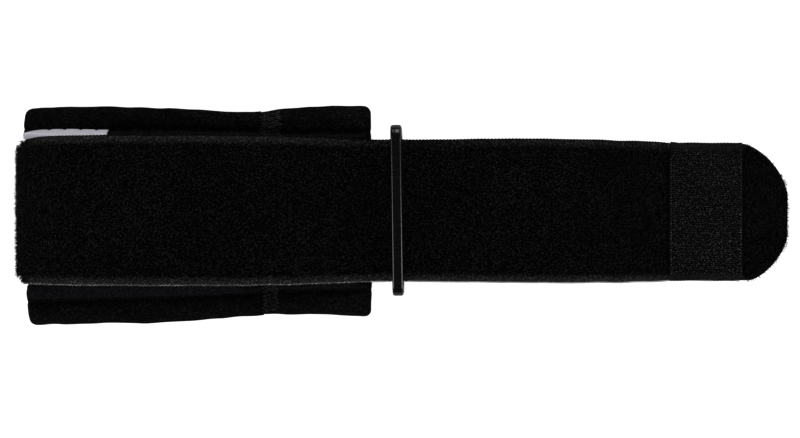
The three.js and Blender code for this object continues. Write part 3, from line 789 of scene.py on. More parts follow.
def on_tape(at, y, height):
    """Points over the tape's inner face: its point at a length along it, plus a height outward.
    Round the fold its edges are pulled in by a step, and a little more at the very edge."""
    x, z, run_x, run_z, low, high = tape_at(at, "x", "z", "run_x", "run_z", "low", "high")
    inset = within(y, low, high)
    first, pull, near, far = (
        np.where(y > 0, *FOLD_EDGE[key][::-1]) for key in ("inset", "pull", "from", "to"))
    at_fold = fade(x, FOLD_FAR + near, FOLD_FAR + far) * smoothstep(
        z, TAPE_THICKNESS, TAPE_THICKNESS + 3)
    x = x + at_fold * (pull * fade(inset, first, first + FOLD_EDGE["run"])
                       + FOLD_EDGE["corner"] * fade(inset, 0, 1.2))
    return np.stack(np.broadcast_arrays(x - run_z * height, y, z + run_x * height), -1)


def length_at(x, over=True):
    """Length along the tape at a place along X, on its way back over the pad or under it."""
    side = TAPE["run_x"] > 0.2 if over else TAPE["run_x"] < -0.9
    side &= TAPE["at"] > (150 if over else 18)
    order = np.argsort(TAPE["x"][side])
    return float(np.interp(x, TAPE["x"][side][order], TAPE["at"][side][order]))


def tape_section():
    """Places across the tape as rows x columns, and their insets from its edges: columns at
    shares of the bare edge, of the shoulder, and of the field between the shoulders."""
    low, high, bare = (TAPE[key][:, None] for key in ("low", "high", "bare"))
    edge = np.array([0, 0.04, 0.13, 0.28, 0.5, 0.75, 1.0])
    turn = np.array([0.15, 0.38, 0.68, 1.0])
    near = np.concatenate([bare * edge, bare + PILE_SHOULDER * turn], 1)
    middle = np.linspace(0, 1, 30)[1:-1]
    start, end = low + near[:, -1:], high - near[:, -1:]
    y = np.concatenate([low + near, lerp(start, end, middle), (high - near)[:, ::-1]], 1)
    return y, within(y, low, high)


def build_strap():
    """The tape's body: a woven base 1 mm thick with rounded edges, and the mass of the pile over
    it, which stands at a share of the pile's height and is lumpy from place to place. The pile
    thins out towards the edges. Its bare edges take a paler colour, partly their own and partly
    painted light; the upper edge is painted fainter than the lower, and fainter still by the
    ring, as painted shade."""
    rng = np.random.default_rng(11)
    y, inset = tape_section()
    at, x, z, bare, pile, run_x = (
        TAPE[key][:, None] for key in ("at", "x", "z", "bare", "pile", "run_x"))
    round_edge = rounded(inset, 0.4)
    upper_half = y > (y[:, :1] + y[:, -1:]) / 2
    near, far = np.where(upper_half, 4, 0), np.where(upper_half, 14, 5)
    at_fold = fade(x, FOLD_FAR + near, FOLD_FAR + far) * (z > TAPE_THICKNESS)
    in_field = lerp(smoothstep(inset, 0.45 * bare, bare + PILE_SHOULDER * 0.7),
                    smoothstep(inset, bare - 0.3, bare + 0.3), at_fold)
    lumps = rng.normal(size=y.shape)
    lumps = (lumps + np.roll(lumps, 1, 0) + np.roll(lumps, 1, 1)) / 1.7
    soft = ripples(at, y, "pile", 5)
    mass = in_field * (PILE_HEIGHT * pile * PILE_MASS + (PILE_LUMP * lumps + soft) * pile)
    ribs = 0.05 * np.sin(2 * np.pi * at / 1.9) * (1 - in_field) * round_edge
    turned_down = 0.3 * (1 - rounded(inset, 1.6))
    top = TAPE_BASE * (0.6 + 0.4 * round_edge) + mass + ribs - turned_down * round_edge
    back = TAPE_BASE * 0.35 * (1 - round_edge)
    rings = there_and_back(on_tape(at, y, top), on_tape(at, y, back))
    rings[..., 2] = np.maximum(rings[..., 2], LOWEST)
    faces = skin(rings[None])
    rows, columns = y.shape
    round_ring = np.full(2 * columns, 1)
    round_ring[:columns - 1] = 0
    round_ring[columns:2 * columns - 1] = 2
    finish_of = np.full(len(faces), 1)
    finish_of[:(rows - 1) * 2 * columns] = np.tile(round_ring, rows - 1)
    # Painted shade: the upper edge's paler colour is painted fainter than the lower one's, more so
    # along the tail past the ring
    faint = lerp(0.8, 0.5, smoothstep(x, 0, 40))
    paler_share = np.where(upper_half, faint * fade(inset, 0.3 * bare, bare + 1.1),
                    fade(inset, 0, bare + 0.7) ** 0.8) * smoothstep(bare, TIP_BARE, 2)
    # Painted shade on the upper edge by the ring: most of its paler colour is taken away there
    by_ring_shade = bell(x - 6, 26) * smoothstep(run_x, 0, 0.9) * upper_half
    paler_share = paler_share * (1 - 0.8 * by_ring_shade)
    piece("strap_tape", rings, faces, [PILE, TAPE_EDGE, TAPE_BACK],
          uv=skin_uv(TAPE["at"], girth(y[rows // 2], TAPE_BASE)), finish_of=finish_of,
          bare=there_and_back(paler_share, paler_share), replaces=["strap"])


def build_fibres(name, start, end, per_square, seed, reach=1.0, thick=1.0, shoulder=PILE_SHOULDER):
    """Pile fibres on a stretch of the tape: each leaves the mass at a random lean, bends once and
    ends in a point. Its rings are two triangles of three points and the point."""
    rng = np.random.default_rng(seed)
    count = int((end - start) * TAPE_WIDTH * per_square)
    at = rng.uniform(start, end, count)
    low, high, bare, pile, run_x, run_z = tape_at(
        at, "low", "high", "bare", "pile", "run_x", "run_z")
    t = rng.uniform(0, 1, count)
    y = lerp(low + 0.3 * bare, high - 0.3 * bare, t)
    inset = within(y, low, high)
    field = smoothstep(inset, 0.7 * bare, bare + shoulder)
    root = on_tape(at, y, TAPE_BASE + PILE_HEIGHT * pile * PILE_MASS * 0.6 * field)
    zero = np.zeros(count)
    out, run = np.stack([-run_z, zero, run_x], -1), np.stack([run_x, zero, run_z], -1)
    side = np.array([0.0, 1.0, 0.0])
    lean, turn = np.radians(rng.uniform(8, 62, count)), rng.uniform(0, 2 * np.pi, count)
    away = np.sign(t - 0.5) * fade(inset, bare, bare + 1.6) * 0.9
    to_tip = smoothstep(at, TAPE["at"][-1] - 1.5, TAPE["at"][-1])
    way = unit(
        out * np.cos(lean)[:, None]
        + (run * np.cos(turn)[:, None] + side * np.sin(turn)[:, None]) * np.sin(lean)[:, None]
        + away[:, None] * side + to_tip[:, None] * run)
    length = PILE_HEIGHT * np.maximum(pile, 0.3) * rng.uniform(0.45, 0.8, count) * reach
    length *= 1 + 0.45 * (rng.random(count) > 0.93)
    later = unit(way + rng.normal(size=(count, 3)) * 0.55)
    mid = root + way * length[:, None] * 0.55
    tip = mid + later * length[:, None] * 0.45
    first = unit(np.cross(way, side + 0.01))
    second = np.cross(way, first)
    radius = FIBRE_RADIUS * thick * rng.uniform(0.75, 1.2, count)
    angle = 2 * np.pi * np.arange(3) / 3
    ring = radius[:, None, None] * (
        np.cos(angle)[:, None] * first[:, None] + np.sin(angle)[:, None] * second[:, None])
    points = np.concatenate([root[:, None] + ring, mid[:, None] + ring * 0.8, tip[:, None]], 1)
    points[..., 2] = np.maximum(points[..., 2], 0.03 + 0.05 * rng.random((count, 1)))
    shape = np.array([
        (0, 1, 4), (0, 4, 3), (1, 2, 5), (1, 5, 4), (2, 0, 3), (2, 3, 5), (3, 4, 6), (4, 5, 6),
        (5, 3, 6), (0, 2, 1),
    ])
    faces = (shape[None] + 7 * np.arange(count)[:, None, None]).reshape(-1, 3)
    piece(name, points, faces, [PILE_FIBRE])


def build_edge_loops():
    """Weft loops that stand out along both edges of the tape: half rings one pitch apart. Those of
    the lower edge take a pale glossy thread as painted light on the lit side, and those of the
    upper one are as dull as the tape."""
    pitch = EDGE_LOOP["pitch"]
    t = np.linspace(0, 1, 6)
    at = np.arange(1.0, TAPE["at"][-1] - TIP_LENGTH - 0.5, pitch)
    along = at[:, None] + (t - 0.5) * pitch * 1.1
    lines = []
    stands = (-EDGE_LOOP["stand"], EDGE_LOOP["stand"] * EDGE_LOOP["upper_share"])
    for edge, stand in zip(tape_at(along, "low", "high"), stands):
        y = edge + (stand * np.sin(np.pi * t) - math.copysign(EDGE_LOOP["root"], stand))
        lines.append(on_tape(along, y, TAPE_BASE * (0.6 + 0.35 * t)))
    lines = np.concatenate(lines)
    lines[..., 2] = np.maximum(lines[..., 2], EDGE_LOOP["radius"])
    rings = tubes(lines, EDGE_LOOP["radius"], sides=4)
    faces = skin(rings)
    upper = faces.min(axis=1) >= rings[0].size // 3 * len(at)
    # The lower edge's loops are painted lit, the upper edge's stay dark
    piece("tape_edge_loops", rings, faces, [PAINTED_LIT_EDGE_THREAD, SEWING], finish_of=upper)


# ---- The pad ----

def pad_at(along):
    """Half widths of the pad to +Y, to -Y and to its channels, at lengths along it."""
    return table_at(PAD_OUTLINE, np.asarray(along, float) / PAD_LENGTH)[..., 1:] * PAD_WIDTH / 2


def panel_ends(panel):
    """Ends of a panel along the pad, a little past the seam where the panels meet, so that the
    cloth is closed there."""
    return (panel["from"] * PAD_LENGTH - (SEAM_LAP if panel["from"] > 0 else 0),
            panel["to"] * PAD_LENGTH + (SEAM_LAP if panel["to"] < 1 else 0))


def panel_fullness(panel, along):
    """How full a panel is: a quarter circle up from how thin each of its ends is sewn."""
    start, end = panel_ends(panel)
    thin_start, thin_end = panel["thinned"]
    return np.minimum(lerp(thin_start, 1, rounded(along - start, PAD_ROLL)),
                      lerp(thin_end, 1, rounded(end - along, PAD_ROLL)))


def drawn_in(along, y):
    """How far the far end is drawn in: a step behind the fold of the tape, and past it a straight
    slant that is steeper towards +Y."""
    aside = np.abs(y + PAD_FAR * math.sin(PAD_TURN))
    edge = TAPE_WIDTH / 2 + np.where(y > 0, -0.4, SEAT)
    behind = PAD_DRAW_IN * fade(aside, edge, edge + 0.9)
    share = np.clip((aside - edge) / (PAD_WIDTH / 2 - edge), 0, 1)
    slant = np.where(y < 0, 0.2 * smoothstep(aside, edge, edge + 0.9) + 0.9 * share, 1.05 * share)
    return (behind + slant) * fade(along, 0, 3 * PAD_ROLL)


def pad_section(border, band, aside, full):
    """Heights of a panel's top and underside: a rolled border sin^n, a flat band that turns down
    to its channel by b^m, and an underside rounded up to the edge."""
    middle = PAD_LEVEL + CHANNEL_LOFT / 2 + PAD_EDGE
    roll = np.maximum(np.sin(np.pi * np.minimum(border, 1)), 0) ** BORDER_FULLNESS
    slope = lerp(middle + PAD_EDGE / 2, PAD_LEVEL + CHANNEL_LOFT, border)
    on_border = lerp(slope, PAD_LEVEL + BORDER_LOFT, roll)
    on_band = lerp(PAD_LEVEL + BAND_LOFT, PAD_LEVEL + CHANNEL_LOFT, band ** BAND_FLATNESS)
    top = np.where(border < 1, on_border, on_band)
    under = lerp(middle - PAD_EDGE / 2, PAD_LEVEL, rounded(border, BORDER_UNDERCUT))
    sag = BORDER_SAG * smoothstep(aside, TAPE_WIDTH / 2, PAD_WIDTH / 2)
    return (middle + np.maximum((top - middle) * full, PAD_EDGE / 2) - sag,
            middle - np.maximum((middle - under) * full, PAD_EDGE / 2) - sag)


# Points round a panel's top from edge to edge: shares of the border, then of the band
PAD_BORDER = np.array([0, 0.03, 0.08, 0.16, 0.27, 0.4, 0.54, 0.68, 0.81, 0.92])
PAD_BAND = np.array([1, 0.975, 0.94, 0.87, 0.76, 0.58, 0.32])
SIDE_BORDER = np.concatenate([PAD_BORDER, np.ones(len(PAD_BAND) + 1)])
SIDE_BAND = np.concatenate([np.ones(len(PAD_BORDER)), PAD_BAND, [0]])
BORDERS = np.concatenate([SIDE_BORDER, SIDE_BORDER[-2::-1]])
BANDS = np.concatenate([SIDE_BAND, SIDE_BAND[-2::-1]])
SIGNS = np.sign(np.arange(len(BORDERS)) - (len(BORDERS) - 1) / 2)


def cut_corners(panel, along):
    """How far a panel's rounded corners draw its outline in: radius (1 - quarter circle)."""
    start, end = panel_ends(panel)
    first, last = panel["corners"]
    return first * (1 - rounded(along - start, first)) + last * (1 - rounded(end - along, last))


def puffed(name, rings, pinned):
    """Swells a closed panel by a cloth simulation on a copy ten times its size: pressure inside,
    its sewn points held, the cloth a little larger than its shape, so that it creases at the
    seams. No point moves further than the cap."""
    start = rings.reshape(-1, 3)
    faces = outward(start, skin(rings[None]))[0]
    mesh = bpy.data.meshes.new(name)
    mesh.from_pydata((start * PUFF["scale"]).tolist(), [], faces.tolist())
    obj = add_object(name, mesh)
    held = obj.vertex_groups.new(name="sewn")
    held.add(np.flatnonzero(pinned.ravel()).tolist(), 1.0, "REPLACE")
    settings = obj.modifiers.new("puff", "CLOTH").settings
    settings.vertex_group_mass = "sewn"
    settings.effector_weights.gravity = 0
    for key, value in PUFF_CLOTH.items():
        setattr(settings, key, value)
    scene = bpy.context.scene
    for number in range(1, PUFF["frames"] + 1):
        scene.frame_set(number)
    done = obj.evaluated_get(bpy.context.evaluated_depsgraph_get())
    moved = np.empty(len(start) * 3)
    done.data.vertices.foreach_get("co", moved)
    scene.frame_set(1)
    bpy.data.objects.remove(obj)
    bpy.data.meshes.remove(mesh)
    step = moved.reshape(-1, 3) / PUFF["scale"] - start
    far = np.linalg.norm(step, axis=1, keepdims=True)
    step *= np.minimum(1, PUFF["cap"] / np.maximum(far, 1e-9))
    return (start + step).reshape(rings.shape)


def panel_grid(panel, seed):
    """A panel's top and underside as rows x columns, from its outline, channels and section, with
    a sharper channel, puckers at its stitches and a soft unevenness."""
    start, end = panel_ends(panel)
    along = lerp(start, end, crowded(panel["rows"]))[:, None]
    upper, lower, channel = pad_at(along[:, 0]).T[..., None]
    reach = np.where(SIGNS < 0, lower, upper) - cut_corners(panel, along)
    reach = reach + ripples(along, SIGNS * 40, "pad outline", seed) * (BORDERS < 1)
    y = SIGNS * np.where(BORDERS < 1, lerp(reach, channel, BORDERS), channel * BANDS)
    full = panel_fullness(panel, along)
    top, under = pad_section(BORDERS, BANDS, np.abs(y), full)
    middle = (top + under) / 2
    top = middle + (top - middle) * SLACK
    from_channel = np.abs(np.abs(y) - channel)
    inside = smoothstep(np.minimum(along - start, end - along), 0, 3)
    on_edge = smoothstep(BORDERS, 0.02, 0.2)
    cut = bell(from_channel, CHANNEL_CUT["width"])
    top -= CHANNEL_CUT["depth"] * cut * inside
    pucker = np.cos(
        2 * np.pi * along / (2 * CHANNEL_STITCH["step"]) + np.where(SIGNS < 0, 0.6, 2.1))
    near_channel = np.exp(-from_channel / 3) * smoothstep(from_channel, 0.2, 1.3)
    top += 0.2 * pucker * near_channel * inside * on_edge
    uneven = ripples(along, y, "pad top", seed + 1) + ripples(along, y, "pad creases", seed + 2)
    top += uneven * inside * on_edge
    aside = smoothstep(np.abs(y), TAPE_WIDTH / 2 + 1, TAPE_WIDTH / 2 + 5)
    under -= ripples(along, y, "pad underside", seed + 3) * aside * inside * on_edge
    notch = CHANNEL_CUT["notch"] * cut
    notch = notch * (fade(along - start, 0, 2) * (panel["from"] == 0)
                     - fade(end - along, 0, 2) * (panel["to"] == 1))
    longer = 0.85 * smoothstep(y, 2, 20) + 0.4 * smoothstep(-y, 2, 20) * fade(-y, 27, 34)
    by_ring = smoothstep(along, PAD_LENGTH - 14, PAD_LENGTH)
    x = PAD_FAR + along + drawn_in(along, y) + notch + longer * by_ring
    return np.stack([x, y, top], -1), np.stack([x, y, under], -1), along[:, 0]


def puffed_grid(name, seed):
    """A panel's top and underside after it is puffed, with the lengths of its rows."""
    panel = PANELS[name]
    top, under, along = panel_grid(panel, seed)
    sewn = (BORDERS < 0.02) | ((BORDERS > 0.93) & (BANDS > 0.96))
    top_pins = np.broadcast_to(sewn, top.shape[:2])
    pins = there_and_back(top_pins, top_pins | (np.abs(under[..., 1]) < TAPE_WIDTH / 2 + 2.5))
    pins[:2] = pins[-2:] = True
    rings = puffed(name + "_cloth", there_and_back(top, under), pins)
    columns = top.shape[1]
    return {"top": rings[:, :columns], "under": rings[:, columns:][:, ::-1], "along": along,
            "panel": panel}


GRIDS = {"pad": puffed_grid("pad", 21), "pad_end": puffed_grid("pad_end", 51)}


def build_pad(name, node):
    """A panel of the pad: its grids joined round the outline, with one subdivision."""
    grid = GRIDS[node]
    rings = there_and_back(grid["top"], grid["under"])
    across = grid["top"][len(grid["top"]) // 2, :, 1]
    pad = piece(name, rings, skin(rings[None]), [PAD_CLOTH], PAD_TURN,
                skin_uv(grid["along"], girth(across, PAD_EDGE)), replaces=[node])
    smooth(pad)


def height_on(side, along, y):
    """Height of the pad's top or underside at places on it: its grid, read between its rows and
    columns. Past a panel's end it keeps the end's height."""
    along, y = np.broadcast_arrays(np.asarray(along, float), np.asarray(y, float))
    result = np.zeros(along.shape)
    last = len(BORDERS) - 1
    depths = np.concatenate([PAD_BORDER, 1 + (1 - SIDE_BAND[len(PAD_BORDER):])])
    for name, grid in GRIDS.items():
        mine = along < SEAM_ALONG if name == "pad" else along >= SEAM_ALONG
        a, place_y = np.clip(along[mine], grid["along"][0], grid["along"][-1]), y[mine]
        upper, lower, channel = pad_at(a).T
        reach = np.where(place_y < 0, lower, upper) - cut_corners(grid["panel"], a)
        aside = np.abs(place_y)
        border = np.clip((reach - aside) / (reach - channel), 0, 1)
        depth = np.where(aside > channel, border, 1 + (1 - aside / channel))
        column = np.interp(depth, depths, np.arange(len(depths)))
        column = np.where(place_y < 0, column, last - column)
        row = np.interp(a, grid["along"], np.arange(len(grid["along"])))
        r = np.minimum(row.astype(int), len(grid["along"]) - 2)
        c = np.minimum(column.astype(int), last - 1)
        fr, fc = row - r, column - c
        z = grid[side][..., 2]
        result[mine] = (z[r, c] * (1 - fr) * (1 - fc) + z[r + 1, c] * fr * (1 - fc)
                        + z[r, c + 1] * (1 - fr) * fc + z[r + 1, c + 1] * fr * fc)
    return result


def top_of_pad(along, y):
    """Height of the pad's top at places on it."""
    return height_on("top", along, y)


def bottom_of_pad(along, y):
    """Height of the pad's underside at places on it."""
    return height_on("under", along, y)


def layer_body(thickness, inset, roll):
    """Thickness of a sheet, rounded off over its edges."""
    return thickness * (0.3 + 0.7 * rounded(inset, roll))


def build_layer(name, node, finish, ends, counts, sides, below, lift, thickness, roll, seed):
    """A sheet over the band between two lengths along the pad: it follows what lies below it at
    a lift, and its thickness is rounded off over its edges."""
    start, end = ends
    along = lerp(start, end, crowded(counts[0]))[:, None]
    low, high = sides(along[:, 0])
    y = lerp(low[:, None], high[:, None], crowded(counts[1]))
    inset = np.minimum(within(y, y[:, :1], y[:, -1:]), within(along, start, end))
    under = below(along, y) + lift
    body = layer_body(thickness, inset, roll) + ripples(along, y, "layers", seed)
    x = PAD_FAR + along + drawn_in(along, y)
    rings = there_and_back(np.stack([x, y, under + body], -1), np.stack([x, y, under], -1))
    made = piece(name, rings, skin(rings[None]), [finish], PAD_TURN,
                 skin_uv(along[:, 0], girth(y[len(y) // 2], thickness)), replaces=[node])


def lining_sides(along):
    """The lining's two edges, just inside the channels."""
    half = pad_at(along)[..., 2] - LINING_INSET
    return -half, half


def top_of_lining(along, y):
    """Height of the lining at a place on the pad, or of the pad itself past the lining's edge."""
    inside = lining_sides(along)[1] - np.abs(y)
    lining = LINING_LIFT + layer_body(LINING_THICKNESS, inside, LINING_ROLL)
    return top_of_pad(along, y) + lining * smoothstep(inside, -0.5, 0.1)


def label_sides(along):
    """The label's two edges: the upper one lies over the channel, tapers towards the far end and
    is nicked, by a bell curve, at every second stitch past the first."""
    first = CHANNEL_STITCH["first"] + CHANNEL_STITCH["step"]
    pitch = 2 * CHANNEL_STITCH["step"]
    off = (along - first + pitch / 2) % pitch - pitch / 2
    nick = LABEL_EDGE["tick"] * (along > first + 2) * bell(off, LABEL_EDGE["tick_width"] / 2)
    taper = LABEL_EDGE["taper"] * np.exp(-along / LABEL_EDGE["taper_run"])
    taper = taper + 0.3 * smoothstep(along, 16, 30)
    channel = pad_at(along)[..., 2]
    return channel - LINING_INSET - LABEL_WIDTH, channel + LABEL_EDGE["over"] - taper - nick


def build_layers():
    """The lining on each panel, and the label over the far end of the long one."""
    for node, panel, seed in (("lining", "pad", 71), ("lining_end", "pad_end", 72)):
        start, end = panel_ends(PANELS[panel])
        build_layer(
            "band_" + node, node, LINING_CLOTH,
            (start + LINING_INSET, end - LINING_INSET), (PANELS[panel]["rows"] + 10, 44),
            lining_sides, top_of_pad, LINING_LIFT, LINING_THICKNESS, LINING_ROLL, seed)
    build_layer(
        "satin_label", "label", LABEL_CLOTH, LABEL_ENDS, (110, 40),
        label_sides, top_of_lining, LABEL_LIFT, LABEL_THICKNESS, 0.4, 73)


def top_of_layers(along, y):
    """Height of what lies on top at a place on the pad: label, lining or the pad itself."""
    low, high = label_sides(along)
    labelled = (y > low) & (y < high) & (along > LABEL_ENDS[0]) & (along < LABEL_ENDS[1])
    return top_of_lining(along, y) + np.where(labelled, LABEL_THICKNESS + LABEL_LIFT, 0)


# ---- Sewing ----

def arched(level, rise):
    """Heights of a stitch's points over a level: it comes up at one end, arches by rise and goes
    down at the other. A negative rise sews from below."""
    bow = np.sin(np.pi * STITCH_SHARES)
    return level + rise * bow ** 0.5 - math.copysign(STITCH_DIP, rise) * (1 - bow) ** 3


def sewn(start, end, surface, rise):
    """Stitches from start[i] to end[i] on a surface, which gives the height at places."""
    x = lerp(start[:, :1], end[:, :1], STITCH_SHARES)
    y = lerp(start[:, 1:2], end[:, 1:2], STITCH_SHARES)
    return np.stack([x, y, arched(surface(x, y), rise)], -1)


def stitches(name, lines, finish, thick=1.0, turn=0.0, sides=6, up=(0, 0, 1)):
    """A piece of stitches along lines, each thinner at its ends."""
    rings = tubes(lines, THREAD * thick * STITCH_PROFILE, sides, up)
    piece(name, rings, skin(rings), [finish], turn)


def build_channel_stitches():
    """Zigzags over both channels, above and below: needle points step along the channel and
    swing between a place on the band and one on the border."""
    over, below = [], []
    for panel in PANELS.values():
        start, end = panel_ends(panel)
        first = max(start, 0) + CHANNEL_STITCH["first"]
        along = np.arange(first, end - 1.0, CHANNEL_STITCH["step"])
        swing = np.where(
            np.arange(len(along)) % 2, -CHANNEL_STITCH["within"], CHANNEL_STITCH["beyond"])
        for sign in (-1, 1):
            needle = np.stack([along, sign * (pad_at(along)[..., 2] + swing)], -1)
            over.append(sewn(needle[:-1], needle[1:], top_of_layers, 0.16))
            below.append(sewn(needle[:-1], needle[1:], bottom_of_pad, -0.14))
    lines = np.concatenate(over + below)
    lines[..., 0] += PAD_FAR + drawn_in(lines[..., 0], lines[..., 1])
    stitches("channel_stitches", lines, SEWING, turn=PAD_TURN)


def build_cross_seam():
    """Close rows of short zigzags side by side over the seam between the panels, from edge to
    edge, above and below. The sewn zone is wider towards +Y, and no two stitches are alike."""
    rng = np.random.default_rng(81)
    half_high, half_low = pad_at(SEAM_ALONG)[:2]
    rows = SEAM_STITCH["rows"]
    lines = []
    for number in range(rows):
        y = np.arange(-half_low + 1.0, half_high - 1.0, SEAM_STITCH["step"]) + 0.27 * number
        share = (y + half_low) / (half_high + half_low)
        reach = lerp(SEAM_STITCH["low"], SEAM_STITCH["high"], share)
        swing = np.arange(len(y)) % 2 * 1.7
        share = (number + swing + rng.normal(0, 0.2, len(y))) / (rows + 0.7)
        along = SEAM_ALONG - SEAM_STITCH["before"] + reach * share
        needle = np.stack([along, y + rng.normal(0, 0.16, len(y))], -1)
        lines.append(sewn(needle[:-1], needle[1:], top_of_layers, 0.16))
        aside = np.abs(needle[:-1, 1]) > TAPE_WIDTH / 2 + 3
        lines.append(sewn(needle[:-1][aside], needle[1:][aside], bottom_of_pad, -0.12))
    lines = np.concatenate(lines)
    lines[..., 0] += PAD_FAR
    stitches("cross_seam_stitches", lines, SEAM_THREAD, 0.75, PAD_TURN, sides=4)


def build_tape_stitches():
    """Straight rows of stitches across the tape: those that sew it under the pad, and those of
    its folded end behind the ring."""
    half = TAPE_WIDTH / 2
    under = [length_at(x, over=False) for x in TAPE_SEAMS]
    lines = []
    for rows, step, height, rise in ((under, 2.6, TAPE_BASE + PILE_HEIGHT * 0.35, 0.25),
                                     (FOLD_SEAMS, 2.4, TAPE_BASE + 0.35, 0.2)):
        y = np.arange(1.5 - half, half - 1.5 - step * 0.8, step)[:, None]
        y = y + STITCH_SHARES * step * 0.86
        lines += [on_tape(np.full(y.shape, at), y, arched(height, rise)) for at in rows]
    lines = np.concatenate(lines)
    lines[..., 2] = np.maximum(lines[..., 2], 0.25)
    stitches("tape_stitches", lines, SEWING, up=(1, 0, 0))


# ---- The hook tab ----

def build_hook_tab():
    """The tab's ground: flat woven edges, a field between them, and one corner a little proud."""
    x = lerp(TAB_START, TAB_END, crowded(40))[:, None]
    half = TAPE_WIDTH / 2 * TAB_WIDTH_SHARE
    edge = TAB_SELVEDGE * np.array([0, 0.04, 0.12, 0.3, 0.6, 1])
    turn = TAB_SELVEDGE + TAB_SHOULDER * np.array([0.3, 0.65, 1])
    near = np.concatenate([edge, turn])
    middle = np.linspace(turn[-1] - half, half - turn[-1], 28)[1:-1]
    y = np.concatenate([near - half, middle, (half - near)[::-1]])
    y = TAB_DRIFT + y[None, :] + ripples(x, 0, "tab edges", 31)
    y = y + 0.42 * bell(x - TAB_START, 3) * smoothstep(y, half - 5, half)
    inset = within(y, y[:, :1], y[:, -1:])
    end_inset = within(x, TAB_START, TAB_END)
    x = x + ripples(y, 0, "tab ends", 32) * fade(end_inset, 0, 3)
    x = x + 0.6 * smoothstep(y, half - 8, half) * fade(x, TAB_START, TAB_START + 5)
    edge_round = rounded(np.minimum(inset, end_inset), 0.35)
    field = smoothstep(inset, TAB_SELVEDGE - 0.2, TAB_SELVEDGE + TAB_SHOULDER)
    proud = 0.9 * np.exp(-((x - TAB_START) / 3.2) ** 2 - ((y - y[:, -1:]) / 4.5) ** 2)
    ribs = 0.04 * np.abs(np.sin(np.pi * inset / 0.72)) * (1 - field)
    sewn_down = -0.12 * bell(end_inset - 1.1, 0.5)
    top = TAB_LEVEL + TAB_BASE * (0.6 + 0.4 * edge_round) + 0.12 * field + ribs + sewn_down + proud
    base = TAB_LEVEL + TAB_BASE * 0.3 * (1 - edge_round) + proud - 0.25
    x = np.broadcast_to(x, y.shape)
    rings = there_and_back(np.stack([x, y, top], -1), np.stack([x, y, base], -1))
    woven = fade(inset, TAB_SELVEDGE - 0.9, TAB_SELVEDGE + 0.3)
    piece("hook_tab_ground", rings, skin(rings[None]), [TAB_CLOTH],
          uv=skin_uv(x[:, 0], girth(y[len(y) // 2], 1)), bare=there_and_back(woven, woven),
          replaces=["hook_tab"])


def build_hooks():
    """Hooks in staggered rows over the tab's field: each is a thread that stands up, bends over
    and ends pointing down, and rows face opposite ways by turns."""
    rng = np.random.default_rng(41)
    half = TAPE_WIDTH / 2 * TAB_WIDTH_SHARE - TAB_SELVEDGE + 0.3
    along = np.arange(TAB_START + 1.0, TAB_END - 2.1, HOOK_PITCH[0])
    across = np.arange(-half, half, HOOK_PITCH[1])
    x, y = np.meshgrid(along, across, indexing="ij")
    way = np.where(np.arange(len(across)) % 2, 1.0, -1.0) * np.ones_like(x)
    x = x + np.arange(len(across)) * 0.36 % 1 * HOOK_PITCH[0]
    x, y, way = x.ravel(), y.ravel() + TAB_DRIFT, way.ravel()
    keep = rng.random(len(x)) > 0.06 + 0.5 * smoothstep(np.abs(y - TAB_DRIFT), half - 1.6, half)
    x, y, way = x[keep], y[keep], way[keep]
    count = len(x)
    x = x + rng.normal(0, 0.16, count)
    y = y + rng.normal(0, 0.12, count)
    lean, turn = rng.normal(0, 0.14, (2, count)), rng.normal(0, 0.35, count)
    tall = rng.uniform(0.85, 1.12, count)
    out, up = HOOK_SHAPE[:, 0] * way[:, None], HOOK_SHAPE[:, 1] * tall[:, None]
    lines = np.stack([
        x[:, None] + out * np.cos(turn)[:, None] + lean[0][:, None] * up,
        y[:, None] + out * np.sin(turn)[:, None] + lean[1][:, None] * up,
        TAB_LEVEL + TAB_BASE + 0.1 + up * (HOOK_HEIGHT / HOOK_SHAPE[:, 1].max())], -1)
    thick = HOOK_RADIUS * rng.uniform(0.85, 1.2, (count, 1))
    rings = tubes(lines, thick * np.array([1, 1, 1, 1, 0.95, 0.7]), sides=4, up=(0.1, 1, 0.05))
    piece("tab_hooks", rings, skin(rings), [HOOKS])


def build_tab_stitches():
    """Rows of small stitches that hold the tab down across both of its ends."""
    half = TAPE_WIDTH / 2 * TAB_WIDTH_SHARE
    y = TAB_DRIFT + np.arange(-half + TAB_SELVEDGE - 0.8, half - TAB_SELVEDGE, 1.05)
    lines = []
    for x, swing in ((TAB_START + 0.45, 0.45), (TAB_END - 0.55, -0.4)):
        row = np.stack([np.full(len(y), x), y], -1)
        lines.append(sewn(
            row, row + (swing, 0.62), lambda a, b: np.full(a.shape, TAB_LEVEL + TAB_BASE), 0.18))
    stitches("tab_stitches", np.concatenate(lines), HOOKS, 0.75, up=(0.3, 0.2, 1))


# ---- The ring ----

